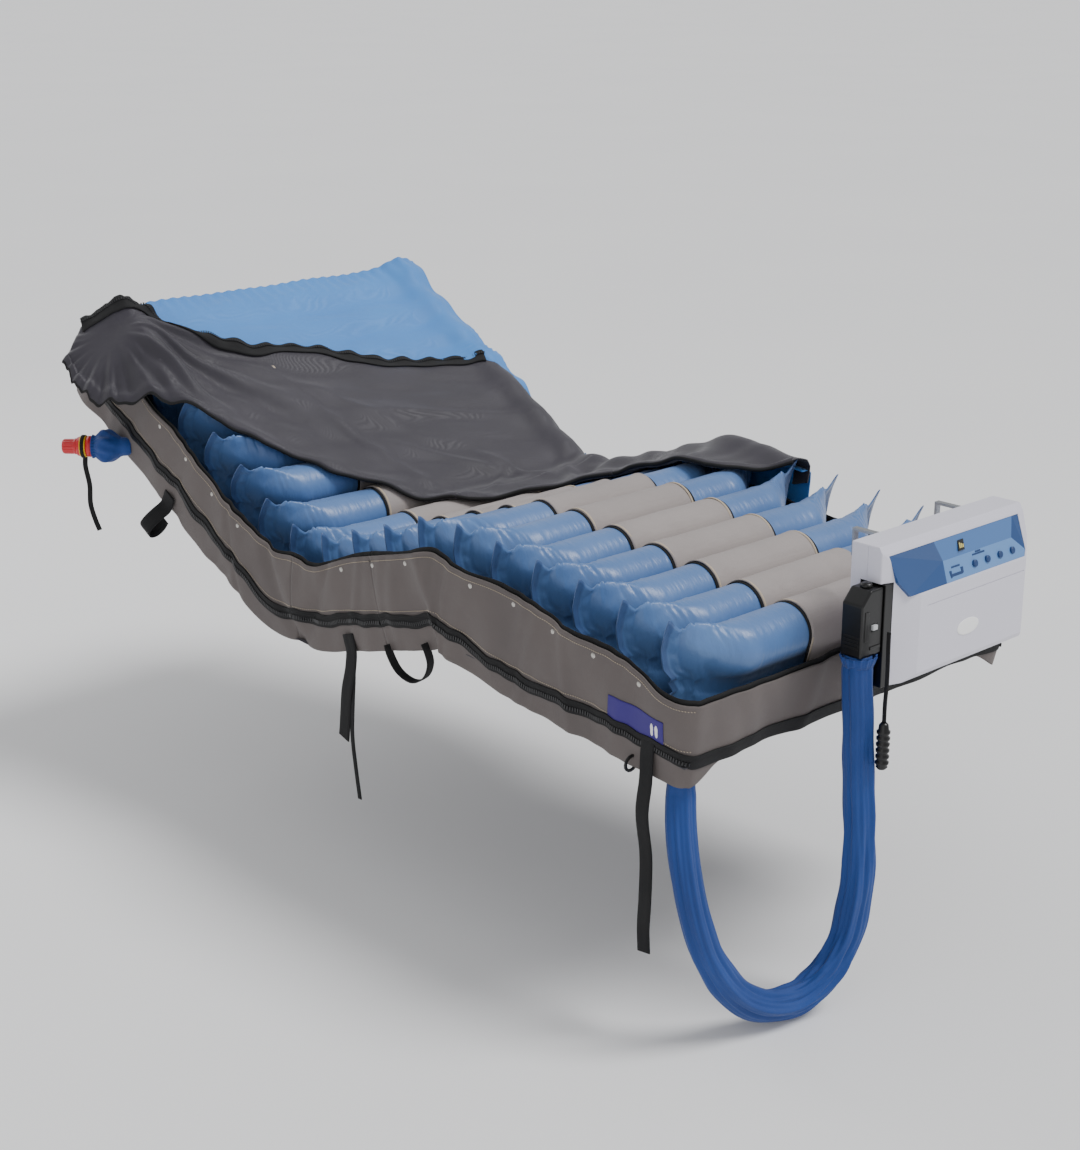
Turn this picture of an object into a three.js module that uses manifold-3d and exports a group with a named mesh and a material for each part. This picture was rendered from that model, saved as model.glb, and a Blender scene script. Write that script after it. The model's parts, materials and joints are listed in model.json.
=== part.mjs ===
// Pressure relief mattress: eighteen air cells in a zipped cover that folds with a profiling bed,
// with its pump, air hose, rescue valve and fixing straps. Millimetres, +Z up.
// +X points to the foot end, +Y to the far side. The origin is under the middle of the seat.
import * as THREE from "three";
import { mergeVertices } from "three/addons/utils/BufferGeometryUtils.js";
import Module from "manifold-3d";

const wasm = await Module();
wasm.setup();

// ---- Driving dimensions -------------------------------------------------------------------
const PITCH = 110;                 // spacing of the cells along the mattress
const CELL_COUNT = 18;             // cell 1 is at the foot
const CELL_HALF_LENGTH = 420;      // middle of the mattress to the tip of a cell
const EAR_HEIGHT = 205;            // deck to the upper corners of the cells; the folds turn there
const COVER_HALF_WIDTH = 455;
const SHEET = 4;                   // thickness of the cover fabric
const WALL_DROP = 24;              // top of the side walls below the cell corners
const GAP = 0.4;                   // running gap between touching pieces

// Folds, counted in cells from the foot, and the slope of each section (rising towards the foot)
const KNEE_FOLD = 6.7;
const THIGH_FOLD = 10.38;
const HIP_FOLD = 11.46;
const FOOT_END = 0.5;
const HEAD_END = CELL_COUNT + 0.5;
const SLOPE = { foot: -5.73, thigh: 17.76, seat: 0, back: -29.25 };
const KNEE_FOLD_LIMIT = 33.2;      // sharpest bend at the knee, for the cut of the cover there
const KNEE_AXIS_DROP = 43;         // the knee bends about the middle of the upper chambers
const HIP_FOLD_LIMIT = 70;
const THIGH_FOLD_LIMIT = 24;

const radians = (degrees) => THREE.MathUtils.degToRad(degrees);

const SECTIONS = {
  foot: { from: FOOT_END, to: KNEE_FOLD, cells: [1, 6] },
  thigh: { from: KNEE_FOLD, to: THIGH_FOLD, cells: [7, 10] },
  seat: { from: THIGH_FOLD, to: HIP_FOLD, cells: [11, 11] },
  back: { from: HIP_FOLD, to: HEAD_END, cells: [12, CELL_COUNT] },
};
const lengthOf = (name) => (SECTIONS[name].to - SECTIONS[name].from) * PITCH;
const SEAT_HALF = lengthOf("seat") / 2;

// ---- Finishes ------------------------------------------------------------------------------
const finish = (color, roughness, metalness = 0) => ({ color, roughness, metalness });
const CELL_BLUE = finish(0x6f96c8, 0.45);
const LOOP_GREY = finish(0xa39b9a, 0.8);
const COVER_GREY = finish(0x7a7471, 0.75);
const TOP_CHARCOAL = finish(0x4b4750, 0.7);
const WEBBING_BLACK = finish(0x17171a, 0.8);
const HOSE_BLUE = finish(0x1f5ca8, 0.6);
const TUBE_CLEAR = finish(0xc9d4da, 0.3);
const PUMP_WHITE = finish(0xe4e2ea, 0.4);
const PANEL_BLUE = finish(0x3f6aa5, 0.35);
const BUTTON_BLUE = finish(0x24436f, 0.4);
const PLASTIC_BLACK = finish(0x141416, 0.4);
const TAB_GREY = finish(0xc4c6c8, 0.4);
const VALVE_RED = finish(0xd8232a, 0.35);
const STEEL = finish(0xb9bcc0, 0.3, 0.9);

// ---- Geometry helpers ----------------------------------------------------------------------
function piece(name, geometry, look) {
  const mesh = new THREE.Mesh(geometry, new THREE.MeshStandardMaterial(look));
  mesh.name = name;
  return mesh;
}

// Outline of [x, z] points, pushed from y0 to y1
function prism(outline, y0, y1) {
  const shape = new THREE.Shape(outline.map(([x, z]) => new THREE.Vector2(x, z)));
  const geometry = new THREE.ExtrudeGeometry(shape, { depth: y1 - y0, bevelEnabled: false });
  geometry.rotateX(Math.PI / 2);
  geometry.translate(0, y1, 0);
  return geometry;
}

// Outline of [x, y] points, pushed from z0 to z1
function plate(outline, z0, z1) {
  const shape = new THREE.Shape(outline.map(([x, y]) => new THREE.Vector2(x, y)));
  const geometry = new THREE.ExtrudeGeometry(shape, { depth: z1 - z0, bevelEnabled: false });
  geometry.translate(0, 0, z0);
  return geometry;
}

function box(x0, x1, y0, y1, z0, z1) {
  const geometry = new THREE.BoxGeometry(x1 - x0, y1 - y0, z1 - z0);
  geometry.translate((x0 + x1) / 2, (y0 + y1) / 2, (z0 + z1) / 2);
  return geometry;
}

// Lathe about +Z; the profile holds [radius, height] points and starts and ends on the axis
function turned(profile, sides = 20) {
  const geometry = new THREE.LatheGeometry(profile.map(([r, z]) => new THREE.Vector2(r, z)), sides);
  geometry.rotateX(Math.PI / 2);
  return geometry;
}

function turnedAt(profile, x, y, z, sides) {
  const geometry = turned(profile, sides);
  geometry.translate(x, y, z);
  return geometry;
}

// Closed skin through rings of [x, y, z] points, all with the same count
function loft(rings) {
  const count = rings[0].length;
  const positions = [...rings.flat(2)];
  const indices = [];
  for (let r = 0; r + 1 < rings.length; r += 1) {
    for (let i = 0; i < count; i += 1) {
      const next = (i + 1) % count;
      const a = r * count + i;
      const b = r * count + next;
      indices.push(a, b + count, b, a, a + count, b + count);
    }
  }
  [0, rings.length - 1].forEach((r, end) => {
    const contour = rings[r].map(([x, , z]) => new THREE.Vector2(x, z));
    for (const [a, b, c] of THREE.ShapeUtils.triangulateShape(contour, [])) {
      const base = r * count;
      indices.push(...(end === 0 ? [base + a, base + b, base + c] : [base + a, base + c, base + b]));
    }
  });
  const geometry = new THREE.BufferGeometry();
  geometry.setAttribute("position", new THREE.Float32BufferAttribute(positions, 3));
  geometry.setIndex(indices);
  return geometry;
}

function solid(geometry) {
  const bare = geometry.clone();
  bare.deleteAttribute("normal");
  bare.deleteAttribute("uv");
  const merged = mergeVertices(bare, 1e-4);
  const mesh = new wasm.Mesh({
    numProp: 3,
    vertProperties: new Float32Array(merged.attributes.position.array),
    triVerts: new Uint32Array(merged.index.array),
  });
  return new wasm.Manifold(mesh);
}

function geometryOf(manifold) {
  const mesh = manifold.getMesh();
  const geometry = new THREE.BufferGeometry();
  geometry.setAttribute("position", new THREE.BufferAttribute(new Float32Array(mesh.vertProperties), 3));
  geometry.setIndex(new THREE.BufferAttribute(new Uint32Array(mesh.triVerts), 1));
  return geometry;
}

const cut = (body, ...tools) =>
  geometryOf(tools.reduce((left, tool) => left.subtract(solid(tool)), solid(body)));
const join = (body, ...others) =>
  geometryOf(others.reduce((left, other) => left.add(solid(other)), solid(body)));
const overlap = (body, other) => geometryOf(solid(body).intersect(solid(other)));

// Round tube along a smooth curve through the points
function tube(points, radius, sides, steps) {
  const section = new THREE.Shape();
  for (let i = 0; i < sides; i += 1) {
    const turn = (2 * Math.PI * i) / sides;
    const corner = [radius * Math.cos(turn), radius * Math.sin(turn)];
    if (i === 0) section.moveTo(...corner);
    else section.lineTo(...corner);
  }
  const curve = new THREE.CatmullRomCurve3(points.map((p) => new THREE.Vector3(...p)), false, "centripetal");
  return new THREE.ExtrudeGeometry(section, { extrudePath: curve, steps, bevelEnabled: false });
}

// Strap of webbing: a [y, z] path thickened to both sides, as wide as x0 to x1
function strap(path, x0, x1, thickness) {
  const half = thickness / 2;
  const sides = path.map((point, i) => {
    const before = path[Math.max(i - 1, 0)];
    const after = path[Math.min(i + 1, path.length - 1)];
    const along = new THREE.Vector2(after[0] - before[0], after[1] - before[1]).normalize();
    return {
      left: [point[0] - along.y * half, point[1] + along.x * half],
      right: [point[0] + along.y * half, point[1] - along.x * half],
    };
  });
  const outline = [...sides.map((s) => s.left), ...sides.map((s) => s.right).reverse()];
  const shape = new THREE.Shape(outline.map(([y, z]) => new THREE.Vector2(y, z)));
  const geometry = new THREE.ExtrudeGeometry(shape, { depth: x1 - x0, bevelEnabled: false });
  geometry.rotateX(Math.PI / 2);
  geometry.rotateZ(Math.PI / 2);
  geometry.translate(x0, 0, 0);
  return geometry;
}

// ---- Section frames: each group's origin is its fold line, at the height of the cell corners --
const mattress = new THREE.Group();
const groups = {};
for (const name of Object.keys(SECTIONS)) groups[name] = new THREE.Group();
groups.seat.position.set(0, 0, EAR_HEIGHT);
groups.back.position.set(-SEAT_HALF, 0, EAR_HEIGHT);
groups.back.rotation.y = -radians(SLOPE.back);
groups.thigh.position.set(SEAT_HALF, 0, EAR_HEIGHT);
groups.thigh.rotation.y = -radians(SLOPE.thigh);
groups.foot.position.set(lengthOf("thigh"), 0, 0);
groups.foot.rotation.y = radians(SLOPE.thigh - SLOPE.foot);
groups.thigh.add(groups.foot);
mattress.add(groups.seat, groups.back, groups.thigh);

// Place of a cell along its own section
function cellPlace(name, number) {
  const section = SECTIONS[name];
  if (name === "seat") return ((section.from + section.to) / 2 - number) * PITCH;
  const fold = name === "back" ? section.from : section.to;
  return (fold - number) * PITCH;
}

// A cell leans as the mean slope of the mattress around it, so the cells fan out at a fold
const LEAN_REACH = 1.1;
function meanSlope(number) {
  let total = 0;
  let covered = 0;
  for (const [name, section] of Object.entries(SECTIONS)) {
    const low = Math.max(number - LEAN_REACH, section.from);
    const high = Math.min(number + LEAN_REACH, section.to);
    if (high > low) {
      total += (high - low) * SLOPE[name];
      covered += high - low;
    }
  }
  return total / covered;
}
const cellLean = (name, number) => radians(SLOPE[name] - meanSlope(number));

// ---- Air cells -----------------------------------------------------------------------------
// Two chambers, one on the other: a narrow lower one that stays filled and a round upper one
const UPPER = { z: -43, halfWidth: 47, halfHeight: 50, points: 12, open: 58 };
const LOWER = { z: -150, halfWidth: 27, halfHeight: 46, points: 8, open: 55 };

function lobe(chamber, start, end, grow) {
  const points = [];
  for (let i = 0; i < chamber.points; i += 1) {
    const turn = radians(start + ((end - start) * i) / (chamber.points - 1));
    const x = (chamber.halfWidth + grow) * Math.cos(turn);
    points.push([x, chamber.z + (chamber.halfHeight + grow) * Math.sin(turn)]);
  }
  return points;
}

function cellOutline(grow = 0) {
  return [
    ...lobe(UPPER, -UPPER.open, 180 + UPPER.open, grow),
    ...lobe(LOWER, 180 - LOWER.open, 360 + LOWER.open, grow),
  ];
}

// The ends close to a flat upright weld: [distance from the middle, share of the full width]
const END_STATIONS = [[330, 1], [375, 0.86], [405, 0.5], [CELL_HALF_LENGTH, 0.08]];

function cellGeometry() {
  const stations = [...END_STATIONS.map(([y, share]) => [-y, share]).reverse(), ...END_STATIONS];
  const rings = stations.map(([y, share]) => cellOutline().map(([x, z]) => [x * share, y, z]));
  return loft(rings);
}

function addCells(name) {
  const [first, last] = SECTIONS[name].cells;
  for (let number = first; number <= last; number += 1) {
    const cell = piece(`cell_${String(number).padStart(2, "0")}`, cellGeometry(), CELL_BLUE);
    cell.position.x = cellPlace(name, number);
    cell.rotation.y = cellLean(name, number);
    groups[name].add(cell);
  }
}

// ---- Grey loops that hold the middle of the cells, sewn to a strip on the cover's floor -------
const LOOP_HALF_LENGTH = 140;
const LOOP_THICKNESS = 1.7;
const LOOP_CLEARANCE = 0.5;
const STRIP_HALF_WIDTH = 60;
const STRIP_HALF_REACH = 24;
const FLOOR = -EAR_HEIGHT + SHEET;

function ringSolid(name, number, grow, halfLength) {
  const ring = prism(cellOutline(grow), -halfLength, halfLength);
  ring.rotateY(cellLean(name, number));
  ring.translate(cellPlace(name, number), 0, 0);
  return ring;
}

function addLoops(name) {
  const [first, last] = SECTIONS[name].cells;
  const lowest = LOWER.z - LOWER.halfHeight;
  const bottomOf = (number) => cellPlace(name, number) + lowest * Math.sin(cellLean(name, number));
  const strip = box(bottomOf(last) - STRIP_HALF_REACH, bottomOf(first) + STRIP_HALF_REACH,
    -STRIP_HALF_WIDTH, STRIP_HALF_WIDTH, FLOOR + GAP, FLOOR + 3 * SHEET);
  const outers = [];
  const inners = [];
  for (let number = first; number <= last; number += 1) {
    outers.push(ringSolid(name, number, LOOP_CLEARANCE + LOOP_THICKNESS, LOOP_HALF_LENGTH));
    inners.push(ringSolid(name, number, LOOP_CLEARANCE, LOOP_HALF_LENGTH + 1));
  }
  groups[name].add(piece(`cell_loops_${name}`, cut(join(strip, ...outers), ...inners), LOOP_GREY));
}

// ---- Lower cover: a floor and two side walls per section, with an end wall at foot and head ---
const END_ROOM = 8;                // last cell to the outside of the end wall
const FOLD_ROOM = 1.2;             // from a fold line to the cover's edge
const WALL_TOP = -WALL_DROP;
const DECK = -EAR_HEIGHT;

function tray(name, outline, innerFrom, innerTo) {
  const inside = box(innerFrom, innerTo, -COVER_HALF_WIDTH + SHEET, COVER_HALF_WIDTH - SHEET, FLOOR, 50);
  return piece(`cover_${name}`, cut(prism(outline, -COVER_HALF_WIDTH, COVER_HALF_WIDTH), inside), COVER_GREY);
}

function addCovers() {
  const axisBack = KNEE_AXIS_DROP * Math.tan(radians((SLOPE.thigh - SLOPE.foot) / 2));
  const kneeTop = axisBack + FOLD_ROOM;
  const kneeDeck = kneeTop + (EAR_HEIGHT - KNEE_AXIS_DROP) * Math.tan(radians(KNEE_FOLD_LIMIT / 2));
  const beyond = 20;
  const footLength = lengthOf("foot") + END_ROOM;
  groups.foot.add(tray("foot",
    [[kneeDeck, DECK], [footLength, DECK], [footLength, WALL_TOP], [kneeTop, WALL_TOP],
      [kneeTop, -KNEE_AXIS_DROP]],
    -beyond, footLength - SHEET));
  const thighLength = lengthOf("thigh");
  groups.thigh.add(tray("thigh",
    [[FOLD_ROOM, DECK], [thighLength - kneeDeck, DECK], [thighLength - kneeTop, -KNEE_AXIS_DROP],
      [thighLength - kneeTop, WALL_TOP], [FOLD_ROOM, WALL_TOP]],
    -beyond, thighLength + beyond));
  const seat = SEAT_HALF - FOLD_ROOM;
  groups.seat.add(tray("seat", [[-seat, DECK], [seat, DECK], [seat, WALL_TOP], [-seat, WALL_TOP]],
    -seat - beyond, seat + beyond));
  const backLength = lengthOf("back") + END_ROOM;
  groups.back.add(tray("back",
    [[-backLength, DECK], [-FOLD_ROOM, DECK], [-FOLD_ROOM, WALL_TOP], [-backLength, WALL_TOP]],
    -backLength + SHEET, beyond));
}

// ---- Top cover, unzipped and folded back towards the head: two layers over the cells ----------
const TOP_COVER_LOW = 13;
const TOP_COVER_HIGH = 24;
const hipTrim = TOP_COVER_HIGH * Math.tan(radians(HIP_FOLD_LIMIT / 2)) + FOLD_ROOM;
const thighTrim = TOP_COVER_HIGH * Math.tan(radians(THIGH_FOLD_LIMIT / 2)) + FOLD_ROOM;

function addTopCover() {
  const far = COVER_HALF_WIDTH;
  const backLength = lengthOf("back") + END_ROOM;
  const backLayer = [[-backLength, -far], [-500, -far], [-330, -400], [-hipTrim, -80],
    [-hipTrim, far], [-backLength, far]];
  groups.back.add(piece("top_cover_back", plate(backLayer, TOP_COVER_LOW, TOP_COVER_HIGH), TOP_CHARCOAL));
  const seatLayer = [[-SEAT_HALF + hipTrim, -50], [SEAT_HALF - thighTrim, 30],
    [SEAT_HALF - thighTrim, far], [-SEAT_HALF + hipTrim, far]];
  groups.seat.add(piece("top_cover_seat", plate(seatLayer, TOP_COVER_LOW, TOP_COVER_HIGH), TOP_CHARCOAL));
  const kneeEnd = lengthOf("thigh") - FOLD_ROOM;
  const thighLayer = [[thighTrim, 50], [kneeEnd, 310], [kneeEnd, far], [thighTrim, far]];
  groups.thigh.add(piece("top_cover_thigh", plate(thighLayer, TOP_COVER_LOW, TOP_COVER_HIGH), TOP_CHARCOAL));
}

// ---- Air lines along the near wall, one stretch in each long section --------------------------
const LINE_RADIUS = 7;
const LINE_Y = -COVER_HALF_WIDTH + SHEET + LINE_RADIUS + 2;
const LINE_Z = DECK + 40;

function addAirLines() {
  const stretches = {
    foot: [[80, lengthOf("foot") - 20], LINE_Z],
    thigh: [[12, lengthOf("thigh") - 80], LINE_Z],
    back: [[-lengthOf("back") + 40, -12], LINE_Z],
  };
  for (const [name, [[from, to], z]] of Object.entries(stretches)) {
    const line = tube([[from, LINE_Y, z], [(from + to) / 2, LINE_Y, z], [to, LINE_Y, z]], LINE_RADIUS, 10, 4);
    groups[name].add(piece(`air_line_${name}`, line, TUBE_CLEAR));
  }
}

// ---- Zip slider, parked at the head end of the near side --------------------------------------
const ZIP_Z = DECK + 70;

function addZipSlider() {
  const y = -COVER_HALF_WIDTH - 1;
  const x = -lengthOf("back") + 30;
  const body = box(x, x + 18, y - 7, y, ZIP_Z - 6, ZIP_Z + 6);
  const pull = box(x + 5, x + 12, y - 10, y - 6, ZIP_Z - 20, ZIP_Z + 2);
  groups.back.add(piece("zip_slider", join(body, pull), STEEL));
}

// ---- Rescue valve for a quick let-down, near the head on the near side ------------------------
const VALVE = { x: -531, z: DECK + 22, bodyFrom: 80, bodyTo: 118, capTo: 152 };

function addRescueValve() {
  const frame = new THREE.Group();
  frame.position.set(VALVE.x, -COVER_HALF_WIDTH, VALVE.z);
  // It points level, half outwards and half to the head
  const outward = new THREE.Vector3(-1, -1, 0).normalize();
  outward.applyAxisAngle(new THREE.Vector3(0, 1, 0), radians(SLOPE.back));
  frame.quaternion.setFromUnitVectors(new THREE.Vector3(0, 0, 1), outward);
  const sleeve = turned([[0, -30], [18, -30], [20, 20], [34, 42], [36, 58], [24, 79], [0, 79]], 18);
  frame.updateMatrix();
  sleeve.applyMatrix4(frame.matrix);
  const wallSide = box(VALVE.x - 200, VALVE.x + 200, -COVER_HALF_WIDTH - GAP, 0, DECK - 200, 0);
  groups.back.add(piece("cpr_sleeve", cut(sleeve, wallSide), HOSE_BLUE));
  const { bodyFrom, bodyTo, capTo } = VALVE;
  const body = turned([[0, bodyFrom], [22, bodyFrom], [22, bodyFrom + 6], [24, bodyFrom + 8],
    [24, bodyTo - 16],
    [22, bodyTo - 14], [22, bodyTo - 2], [20, bodyTo], [0, bodyTo]]);
  const cap = turned([[0, bodyTo + GAP], [18, bodyTo + GAP], [18, capTo - 2], [16, capTo], [0, capTo]]);
  frame.add(piece("cpr_valve_body", body, VALVE_RED), piece("cpr_cap", cap, VALVE_RED));
  groups.back.add(frame);
}

// ---- Webbing straps on the near side ----------------------------------------------------------
const WEBBING = 2;
const SEWN_UP = 34;                // each strap is sewn to the lower edge of the side wall

function addStraps() {
  const y = -COVER_HALF_WIDTH - 4;
  const under = DECK - GAP - WEBBING / 2;
  const footX = lengthOf("foot") - 56;
  const tail = [[y, DECK + SEWN_UP], [y, under - 380]];
  groups.foot.add(piece("strap_foot", strap(tail, footX - 38, footX, WEBBING), WEBBING_BLACK));
  const ring = turned([[11, -2], [17, -2], [17, 2], [11, 2], [11, -2]], 16);
  ring.rotateY(Math.PI / 2);
  ring.translate(footX - 54, y - 2, under - 30);
  groups.foot.add(piece("strap_ring", ring, PLASTIC_BLACK));
  const seatTail = [[y, DECK + SEWN_UP], [y, under - 330]];
  groups.thigh.add(piece("strap_seat", strap(seatTail, 60, 98, WEBBING), WEBBING_BLACK));
  const loopX = -330;
  const handle = [[y, DECK + SEWN_UP], [y, DECK + 8], [y - 14, under - 10], [y - 34, under - 22],
    [y - 46, under - 38], [y - 40, under - 52], [y - 24, under - 56], [y - 8, under - 44]];
  groups.back.add(piece("strap_back", strap(handle, loopX - 38, loopX, WEBBING), WEBBING_BLACK));
}

// ---- Pump ---------------------------------------------------------------------------------------
const PUMP = { back: 1170, split: 1206, front: 1262, near: -107, far: 305, low: 150, high: 405, wall: 3 };
const PANEL = { low: 308, high: 392, backset: 24, near: -92, far: 292, deep: 5 };
const SOCKET = { back: 1192, front: 1244, high: 340, deep: 45 };

function pumpProfile(inset) {
  const { back, front, low, high } = PUMP;
  return [
    [back + inset, low + inset], [front - 10 - inset, low + inset], [front - inset, low + 12 + inset],
    [front - inset, PANEL.low], [front - PANEL.backset - inset, PANEL.high],
    [front - PANEL.backset - 8 - inset, high - inset], [back + inset, high - inset],
  ];
}

function pumpPlan(inset) {
  const { back, front, near, far } = PUMP;
  return [
    [back + inset, near + inset], [front - 26, near + inset], [front - inset, near + 82],
    [front - inset, far - 14], [front - 12, far - inset], [back + inset, far - inset],
  ];
}

function addPumpCase() {
  const { back, split, near, far, low, high, wall, front } = PUMP;
  const outer = overlap(prism(pumpProfile(0), near, far), plate(pumpPlan(0), low, high));
  const inner = overlap(prism(pumpProfile(wall), near + wall, far - wall), plate(pumpPlan(wall), low, high));
  const socketRoom = box(SOCKET.back, SOCKET.front, near - 1, near + SOCKET.deep, low - 1, SOCKET.high);
  const hollow = cut(outer, inner, socketRoom);
  const panelRoom = panelPlate(0, PANEL.deep, 1);
  const frontRoom = box(split + GAP / 2, front + 1, near - 1, far + 1, low - 1, high + 1);
  const rearRoom = box(back - 1, split - GAP / 2, near - 1, far + 1, low - 1, high + 1);
  mattress.add(
    piece("pump_front_shell", cut(overlap(hollow, frontRoom), panelRoom), PUMP_WHITE),
    piece("pump_rear_shell", overlap(hollow, rearRoom), PUMP_WHITE),
  );
}

// Frame on the sloped face: local x runs across the pump, local y up the slope, local z outwards
const SLOPE_LENGTH = Math.hypot(PANEL.backset, PANEL.high - PANEL.low);
function onSlope(geometry) {
  const lean = Math.atan2(PANEL.backset, PANEL.high - PANEL.low);
  geometry.rotateX(Math.PI / 2 - lean);
  geometry.rotateZ(Math.PI / 2);
  geometry.translate(PUMP.front, 0, PANEL.low);
  return geometry;
}

function panelPlate(clearance, deep, top) {
  const left = PANEL.near + clearance;
  const right = PANEL.far - clearance;
  const lowEdge = 4 + clearance;
  const highEdge = SLOPE_LENGTH - 4 - clearance;
  const outline = [[left, highEdge], [left + 14, 34], [left + 40, lowEdge], [right - 6, lowEdge],
    [right, 16], [right - 6, highEdge]];
  return onSlope(plate(outline, -deep, top));
}

const BUTTON = { radius: 6.5, across: [140, 178, 216, 254], up: 22, proud: 1.6, deep: 4 };
const BUTTON_NAMES = ["button_power", "button_softer", "button_firmer", "button_static"];

function addControls() {
  const clearance = GAP;
  const holes = BUTTON.across.map((across) => {
    const hole = [[0, -10], [BUTTON.radius + 0.5, -10], [BUTTON.radius + 0.5, 10], [0, 10]];
    return onSlope(turnedAt(hole, across, BUTTON.up, 0, 16));
  });
  const film = panelPlate(clearance, PANEL.deep - clearance, -1);
  mattress.add(piece("control_panel", cut(film, ...holes), PANEL_BLUE));
  BUTTON.across.forEach((across, i) => {
    const { radius, proud, deep } = BUTTON;
    const section = [[0, -deep], [radius, -deep], [radius, proud - 0.8], [radius - 1.5, proud], [0, proud]];
    const dome = turnedAt(section, across, BUTTON.up, 0, 16);
    mattress.add(piece(BUTTON_NAMES[i], onSlope(dome), BUTTON_BLUE));
  });
}

function addPumpInside() {
  const { back, near, low, wall } = PUMP;
  const base = low + wall + GAP;
  const compressor = join(
    box(back + 12, back + 72, 40, 150, base, base + 14),
    turnedAt([[0, 0], [28, 0], [28, 60], [20, 70], [0, 70]], back + 42, 70, base + 13, 20),
    turnedAt([[0, 0], [28, 0], [28, 60], [20, 70], [0, 70]], back + 42, 120, base + 13, 20),
  );
  mattress.add(piece("compressor", compressor, STEEL));
  const valve = join(
    box(back + 16, back + 66, near + 62, near + 112, base, base + 30),
    turnedAt([[0, 0], [20, 0], [20, 40], [0, 40]], back + 41, near + 87, base + 29, 20),
  );
  mattress.add(piece("rotary_valve", valve, TAB_GREY));
  mattress.add(piece("mains_inlet", box(back - 8, back - GAP, 250, 278, low + 12, low + 32), PLASTIC_BLACK));
}

// Hooks that go over the footboard; each swings on an upright pin at the back of the pump
const HOOK = { pins: [-20, 220], pinX: 1163, low: 358, high: 398, reach: 52, drop: 52, thick: 5, wide: 12 };

function addHooks() {
  ["hook_near", "hook_far"].forEach((name, i) => {
    const y = HOOK.pins[i];
    const { pinX, low, high, reach, drop, thick, wide } = HOOK;
    const pin = turnedAt([[0, low], [6, low], [6, high], [0, high]], pinX, y, 0, 16);
    const arm = box(pinX - reach, pinX, y - wide / 2, y + wide / 2, high - thick, high);
    const lip = box(pinX - reach - thick, pinX - reach, y - wide / 2, y + wide / 2, high - drop, high);
    mattress.add(piece(name, join(pin, arm, lip), STEEL));
  });
}

// ---- Hose connector, clicked on to the side of the pump ---------------------------------------
const CONNECTOR = { back: 1195, front: 1240, near: -158, low: 216, high: 336 };
const LATCH = { y: -124, z: 268, wide: 12, high: 9, proud: 4, deep: 8 };

function addConnector() {
  const { near, low } = PUMP;
  const socketFace = near + 5;
  mattress.add(piece("hose_socket",
    box(SOCKET.back + GAP, SOCKET.front - GAP, socketFace, near + SOCKET.deep - GAP,
      low + GAP, SOCKET.high - GAP),
    PLASTIC_BLACK));
  const c = CONNECTOR;
  const side = [[c.near, c.low], [socketFace - GAP, c.low], [socketFace - GAP, c.high],
    [c.near + 22, c.high], [c.near, c.high - 24]];
  const shape = new THREE.Shape(side.map(([y, z]) => new THREE.Vector2(y, z)));
  const block = new THREE.ExtrudeGeometry(shape, { depth: c.front - c.back, bevelEnabled: false });
  block.rotateX(Math.PI / 2);
  block.rotateZ(Math.PI / 2);
  block.translate(c.back, 0, 0);
  const half = [LATCH.wide / 2 + GAP, LATCH.high / 2 + GAP];
  const pocket = box(c.front - LATCH.deep, c.front + 1, LATCH.y - half[0], LATCH.y + half[0],
    LATCH.z - half[1], LATCH.z + half[1]);
  mattress.add(piece("quick_connector", cut(block, pocket), PLASTIC_BLACK));
  mattress.add(piece("connector_latch",
    box(c.front - 3, c.front + LATCH.proud, LATCH.y - LATCH.wide / 2, LATCH.y + LATCH.wide / 2,
      LATCH.z - LATCH.high / 2, LATCH.z + LATCH.high / 2), TAB_GREY));
}

// Sealing cap for the hose, hanging on a tether from the socket
function addTransportCap() {
  const x = PUMP.front + 2;
  const y = PUMP.near - 6;
  const tether = box(x - 4, x + 4, y - 1.5, y + 1.5, 96, 262);
  mattress.add(piece("cap_tether", tether, WEBBING_BLACK));
  const ribs = [[0, 8], [8, 8], [11, 14]];
  for (let rib = 0; rib < 5; rib += 1) {
    const z = 20 + rib * 13;
    ribs.push([11, z], [13, z + 2], [13, z + 7], [11, z + 9]);
  }
  ribs.push([7, 95.6], [0, 95.6]);
  mattress.add(piece("transport_cap", turnedAt(ribs, x, y, 0, 16), PLASTIC_BLACK));
}

// ---- Air hose in its fabric sleeve, from the foot end of the mattress to the connector --------
const HOSE_RADIUS = 28;
const HOSE_EXIT = { x: 645, y: -415 };    // in the foot section
const GLAND_THICKNESS = 6;
const CUFF = { x: 1066, y: -415, high: 43, low: 14, radius: 32 };
const HOSE_ROUTE = [
  [1066, -415, 13.6], [1066, -415, -12], [1079, -427, -62], [1102, -443, -112], [1122, -450, -165],
  [1137, -446, -222], [1148, -428, -286], [1158, -396, -346], [1168, -350, -398], [1181, -292, -428],
  [1194, -230, -432], [1206, -172, -402], [1214, -132, -346], [1218, -112, -270], [1220, -106, -186],
  [1220, -110, -90], [1219, -119, 10], [1219, -128, 104], [1218, -135, 180], [1218, -135, 215.6],
];

function addHose() {
  const under = DECK - GAP;
  const bottom = under - GLAND_THICKNESS;
  const gland = turnedAt([[12, bottom], [34, bottom], [34, under], [12, under],
    [12, under - GLAND_THICKNESS]], HOSE_EXIT.x, HOSE_EXIT.y, 0, 20);
  groups.foot.add(piece("hose_gland", gland, PLASTIC_BLACK));
  const { x, y, high, low, radius } = CUFF;
  const cuff = turnedAt([[0, low], [radius - 3, low], [radius, low + 6], [radius, high - 5],
    [radius - 4, high], [0, high]],
    x, y, 0, 20);
  mattress.add(piece("hose_cuff", cuff, HOSE_BLUE));
  mattress.add(piece("air_hose", tube(HOSE_ROUTE, HOSE_RADIUS, 10, 40), HOSE_BLUE));
}

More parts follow.
